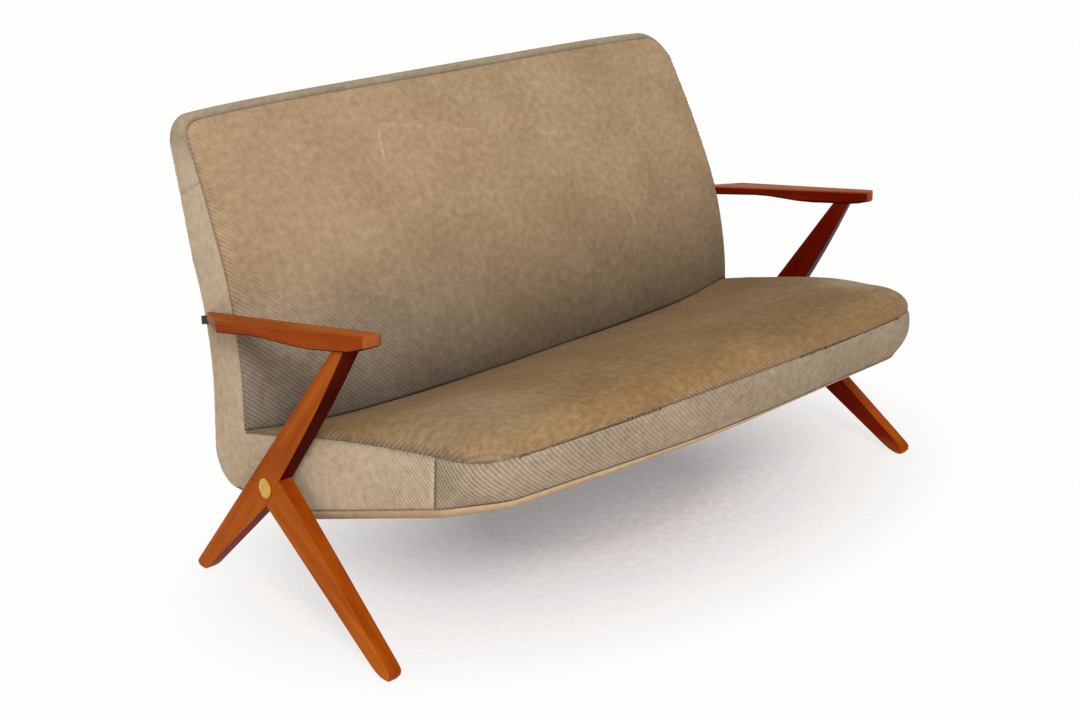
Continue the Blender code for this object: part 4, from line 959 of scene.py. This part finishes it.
def top_band_half(front_corner, rear_corner):
    """From the side seam up round the right corner to the middle, and from the front edge to the rear."""
    up, around, over = 9, 21, 88
    turn = join(np.zeros(up), quarter(around + 1)[1:], np.full(over, math.pi / 2))[:, None]
    climb = join(np.linspace(0.0, 1.0, up), np.ones(around + over))[:, None]
    across = join(np.ones(up + around), np.linspace(1.0, 0.0, over + 1)[1:])[:, None]
    t = np.linspace(0.04, 0.96, 16)[None, :]
    corner = lerp(front_corner, rear_corner, t)
    length = lerp(FRONT_LENGTH, BACK_LENGTH, 1.0 - (1.0 - t) ** 2)
    radius = corner + TOP_CROWN * np.sin(turn) * 4.0 * t * (1.0 - t)
    level = lerp(SIDE_TOP, length - corner, climb) + radius * np.sin(turn)
    y, z = back_yz(level, lerp(0.0, back_thick(level), t))
    return points(across * (side_x(y, z) - corner) + radius * np.cos(turn), y, z)


def make_top_band():
    right, left = (top_band_half(BACK_CORNER[name], REAR_CORNER[name]) for name in ("right", "left"))
    grid = arched(join(right, left[-2::-1] * (-1.0, 1.0, 1.0)))
    grid = sewn(grid, (0, 0, 1), ("left", "right"))
    run, cross = along_rows(grid), along_columns(grid)
    piece = sheet_of("back_top_band_cover", grid, (0, 0, 1), pair(run, cross))
    high = smooth((grid[..., 2] - 0.68) / 0.08)
    # darker towards the crest, and painted shade in the seam at its front edge
    soil_and_shade = 0.30 * high + 0.35 * bell(cross / 0.010)
    finish_cloth(piece, CLOTH_SIDE, 0.10, ("back_top_band",), 0.25 * (1.0 - high), soil_and_shade)


def make_outside_back():
    straight = BACK_LENGTH - REAR_CORNER["right"]
    s = join(straight + REAR_CORNER["right"] * np.sin(quarter(24)[::-1]),
             np.linspace(straight, ROUND_Z - BEND_HEIGHT, 72)[1:])
    y, z = back_yz(s, back_thick(s))
    left, right = back_edges(s, back_thick(s), REAR_CORNER, BACK_LENGTH)
    turn = quarter(16)[1:]
    round_y = ROUND_Y + REAR_ROUND * np.cos(turn)
    round_z = ROUND_Z - REAR_ROUND * np.sin(turn)
    round_x = side_x(round_y, round_z)
    rows = ((left, -round_x), (right, round_x), (y, round_y), (z, round_z))
    left, right, y, z = (join(*both)[:, None] for both in rows)
    grid = arched(points(lerp(left, right, spread(90)), y, z))
    grid = sewn(grid, (0, 1, 0), ("first", "last", "left", "right"))
    piece = sheet_of("outside_back", grid, (0, 1, -0.3), pair(grid[..., 0], along_rows(grid)))
    finish_cloth(piece, CLOTH_SIDE, 0.45, ("outside_back_cover",))


def make_side(name, side):
    """The L-shaped side panel, between its edge at the seat and back and its edge below and behind."""
    ys = np.linspace(CORNER_Y + GAP, BACK_FACE, 60)
    seat_edge = pair(ys, seam_z(ys) - GAP)
    foot = pair(*back_yz(np.linspace(seat_edge[-1, 1] - BEND_HEIGHT, 0.0, 24)[1:], SEAM_DIP))
    ys = np.linspace(CORNER_Y + GAP, ROUND_Y, 60)
    low_edge = pair(ys, border_z(side * BODY_WIDTH / 2, ys) + GAP)
    turn = quarter(24)[1:]
    heel = pair(ROUND_Y + REAR_ROUND * np.sin(turn), ROUND_Z - REAR_ROUND * np.cos(turn))
    s = np.linspace(0.0, SIDE_TOP - GAP, 50)[1:]
    inner = join(seat_edge, foot, pair(*back_yz(s, SEAM_DIP)))
    outer = join(low_edge, heel, pair(*back_yz(s, back_thick(s) - SEAM_DIP / 2)))
    yz = lerp(inner[:, None, :], outer[:, None, :], spread(22)[None, :, None])
    y, z = yz[..., 0], yz[..., 1]
    outward = (side, 0, 0)
    grid = sewn(points(side * side_x(y, z), y, z), outward, ("left", "right"))
    grid = sewn(grid, outward, ("first",), FLAT_SEAM_DIP, FLAT_SEAM_ROLL)
    piece = sheet_of("side_cover_" + name, grid, outward, yz * (side, 1.0))

    near_front = smooth((-0.06 - y) / 0.18)
    rib = 0.10 + 0.65 * near_front
    pale = 0.25 * smooth((z - 0.45) / 0.20)
    # darker towards the front, and painted shade in the seam along the seat and back
    soil_and_shade = 0.12 * near_front + 0.40 * bell(along_columns(grid) / 0.006)
    finish_cloth(piece, CLOTH_SIDE, rib, ("side_panel_" + name,), pale, soil_and_shade)


# Frame

def cut(shape, place, normal, clear=False):
    """Cuts a shape along a plane, clears what lies beyond if asked, and gives what the cut made."""
    everything = shape.verts[:] + shape.edges[:] + shape.faces[:]
    return bmesh.ops.bisect_plane(shape, geom=everything, plane_co=place, plane_no=normal,
                                  clear_outer=clear)["geom_cut"]


def round_ends(shape, outward):
    """Rounds the corners of an armrest's two ends by cuts along an arc."""
    cuts = []
    for step in (-3, -2, -1, 1, 2, 3):
        angle = step * ARC_STEP
        normal = Vector((math.sin(angle), math.cos(angle), 0.0))
        cuts.append((normal, END_ROUND * (abs(normal.x) + abs(normal.y) - 1.0)))
    for step in (-2, -1, 0, 1, 2):
        turn = step * ARC_STEP
        normal = Vector((-outward * math.sin(TIP_ANGLE + turn), -math.cos(TIP_ANGLE + turn), 0.0))
        cuts.append((normal, TIP_ROUND * (math.cos(turn) / math.sin(TIP_ANGLE) - 1.0)))
    reach = [max(normal.dot(v.co) for v in shape.verts) for normal, _ in cuts]
    for (normal, depth), far in zip(cuts, reach):
        made = cut(shape, normal * (far - depth), normal, clear=True)
        bmesh.ops.holes_fill(shape, edges=[e for e in made if isinstance(e, bmesh.types.BMEdge)])


def level_cut(shape, height):
    """Adds a ring of points round a foot at some height, and gives their middle and half widths."""
    made = cut(shape, (0.0, 0.0, height), (0.0, 0.0, 1.0))
    ring = [v.co for v in made if isinstance(v, bmesh.types.BMVert)]
    low, high = (Vector((end(p.x for p in ring), end(p.y for p in ring), height)) for end in (min, max))
    return (low + high) / 2, (high - low) / 2


def round_foot(shape):
    """Draws a foot in towards its middle line, like the end of a rod."""
    above, _ = level_cut(shape, 2.0 * FOOT_DOME)
    middle, half = level_cut(shape, FOOT_DOME)
    for share in (0.08, 0.20, 0.38, 0.65):
        level_cut(shape, FOOT_DOME * share)
    for v in shape.verts:
        rise = min(1.0, max(0.0, 1.0 - v.co.z / FOOT_DOME))
        inset = FOOT_INSET * (1.0 - math.sqrt(1.0 - rise * rise))
        axis = middle - (above - middle) * rise
        v.co.x = axis.x + (v.co.x - axis.x) * (1.0 - inset / half.x)
        v.co.y = axis.y + (v.co.y - axis.y) * (1.0 - inset / half.y)


def soften(node, outward, material):
    """A copy of a wooden solid with its edges and ends rounded over, in the place of the solid."""
    is_arm = node.startswith("armrest")
    mesh = frame["nodes"][node].data.copy()
    shape = bmesh.new()
    shape.from_mesh(mesh)
    bmesh.ops.remove_doubles(shape, verts=shape.verts, dist=1e-5)
    bmesh.ops.dissolve_limit(shape, angle_limit=math.radians(1.0), verts=shape.verts, edges=shape.edges)
    if is_arm:
        round_ends(shape, outward)
    sharp = [e for e in shape.edges if len(e.link_faces) == 2 and e.calc_face_angle() > SHARP_EDGE]
    bmesh.ops.bevel(shape, geom=sharp, offset=ARM_EDGE_ROUND if is_arm else EDGE_ROUND, segments=3,
                    profile=0.5, affect="EDGES", clamp_overlap=not is_arm)
    if not is_arm:
        round_foot(shape)
    shape.to_mesh(mesh)
    shape.free()
    mesh.shade_smooth()
    mesh.set_sharp_from_angle(angle=math.radians(32.0))
    mesh.materials.clear()
    mesh.materials.append(material)
    piece = add_object(node + "_wood", mesh)
    flat = piece.modifiers.new("flat_faces", "WEIGHTED_NORMAL")
    flat.weight = 100
    flat.keep_sharp = True
    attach(piece, "root")
    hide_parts(node)


def dress_frame():
    """Teak on the side frames, and a finish on each solid that is seen as it is."""
    for name, outward in SIDES:
        for node, grain in (("strut", STRUT_GRAIN), ("front_leg", LEG_GRAIN)):
            wood = teak("teak_" + node + "_" + name, grain, outward, 0.55, 0.0)
            soften(node + "_" + name, outward, wood)
        upward = 0.75 if name == "left" else 1.1
        wood = teak("teak_armrest_" + name, ARM_GRAIN, 0.5 * outward, upward, 0.8)
        soften("armrest_" + name, outward, wood)
    iron = metal("iron_dark", (46, 41, 37), (78, 70, 62), 0.45)
    finishes = {
        "beech": plain_wood("beech_inner"),
        "brass": metal("brass_aged", (180, 141, 60), (228, 193, 104), 0.36),
        "steel": metal("steel_dull", (120, 114, 108), (158, 150, 142), 0.40),
        "webbing": thin_cloth("webbing_weave", (48, 38, 30), (78, 64, 50), 0.003),
    }
    slots = {p["node"]: p["material_slot"] for p in frame["record"]["subparts"]}
    for node, solid in frame["nodes"].items():
        if slots[node] in finishes:
            solid.data.materials.clear()
            solid.data.materials.append(iron if "bracket" in node else finishes[slots[node]])


# Studio

def make_camera():
    camera = add_object("camera", bpy.data.cameras.new("camera"))
    camera.data.sensor_width = SENSOR
    camera.data.lens = FOCAL_PIXELS / IMAGE_WIDTH * SENSOR
    camera.data.clip_end = 100.0
    turn = (TARGET - EYE).to_track_quat("-Z", "Y").to_matrix().to_4x4()
    camera.matrix_world = Matrix.Translation(EYE + Vector(SHIFT)) @ turn @ Matrix.Rotation(ROLL, 4, "Z")
    bpy.context.scene.camera = camera


def paper():
    """White paper that takes the sofa's shade near it and turns into the white surroundings further off."""
    made = Shader("floor_paper")
    place = made.place()
    speckle = made.noise(place, 60.0, 5.0, 0.7)
    colour = made.ramp(speckle, (0.3, 0.7), ((0.70, 0.60, 0.61, 1.0), (0.99, 0.87, 0.88, 1.0)))
    made.set(Base_Color=colour, Roughness=0.8, Specular_IOR_Level=0.2)
    offset = made.vector("MULTIPLY", made.vector("SUBTRACT", place, (0.05, 0.0, 0.0)), (1.25, 2.0, 0.0))
    away = made.node("VectorMath", {0: offset}, operation="LENGTH").outputs["Value"]
    white = made.times(made.seen(), made.span(away, 0.30, 1.10, 0.20, 1.0))
    glow = made.node("Emission", {"Color": (0.992, 0.990, 0.972, 1.0), "Strength": 1.0}).outputs["Emission"]
    mixed = made.node("MixShader", {"Fac": white, 1: made.surface.outputs["BSDF"], 2: glow})
    made.feed(made.tree.nodes["Material Output"].inputs["Surface"], mixed.outputs["Shader"])
    return made.material


def make_studio():
    scene = bpy.context.scene
    scene.view_settings.view_transform = "Standard"
    corners = [(x * FLOOR_HALF, y * FLOOR_HALF, 0.0) for x, y in ((-1, -1), (1, -1), (1, 1), (-1, 1))]
    floor = mesh_object("floor", corners, [(0, 1, 2, 3)], smooth_faces=False)
    floor.location.z = cad_box[0].z - FLOOR_DROP
    floor.data.materials.append(paper())
    world = bpy.data.worlds.new("studio")
    world.use_nodes = True
    made = Nodes(world.node_tree)
    background = made.tree.nodes["Background"].inputs
    made.feed(background["Strength"], made.span(made.seen(), 0.0, 1.0, WORLD_LIGHT, 1.0))
    made.feed(background["Color"], (1.0, 0.99, 0.97, 1.0))
    scene.world = world
    lamp = bpy.data.lights.new("key", "AREA")
    lamp.shape = "DISK"
    lamp.size = LAMP_SIZE
    lamp.energy = LAMP_POWER
    light = add_object("key", lamp)
    light.location = LAMP_PLACE
    light.rotation_mode = "QUATERNION"
    light.rotation_quaternion = (LAMP_AIM - light.location).to_track_quat("-Z", "Y")


make_seat()
make_front_band()
make_border()
make_dust_cover()
make_back()
make_top_band()
make_outside_back()
for side_name, side_sign in SIDES:
    make_side(side_name, side_sign)
dress_frame()
make_camera()
make_studio()
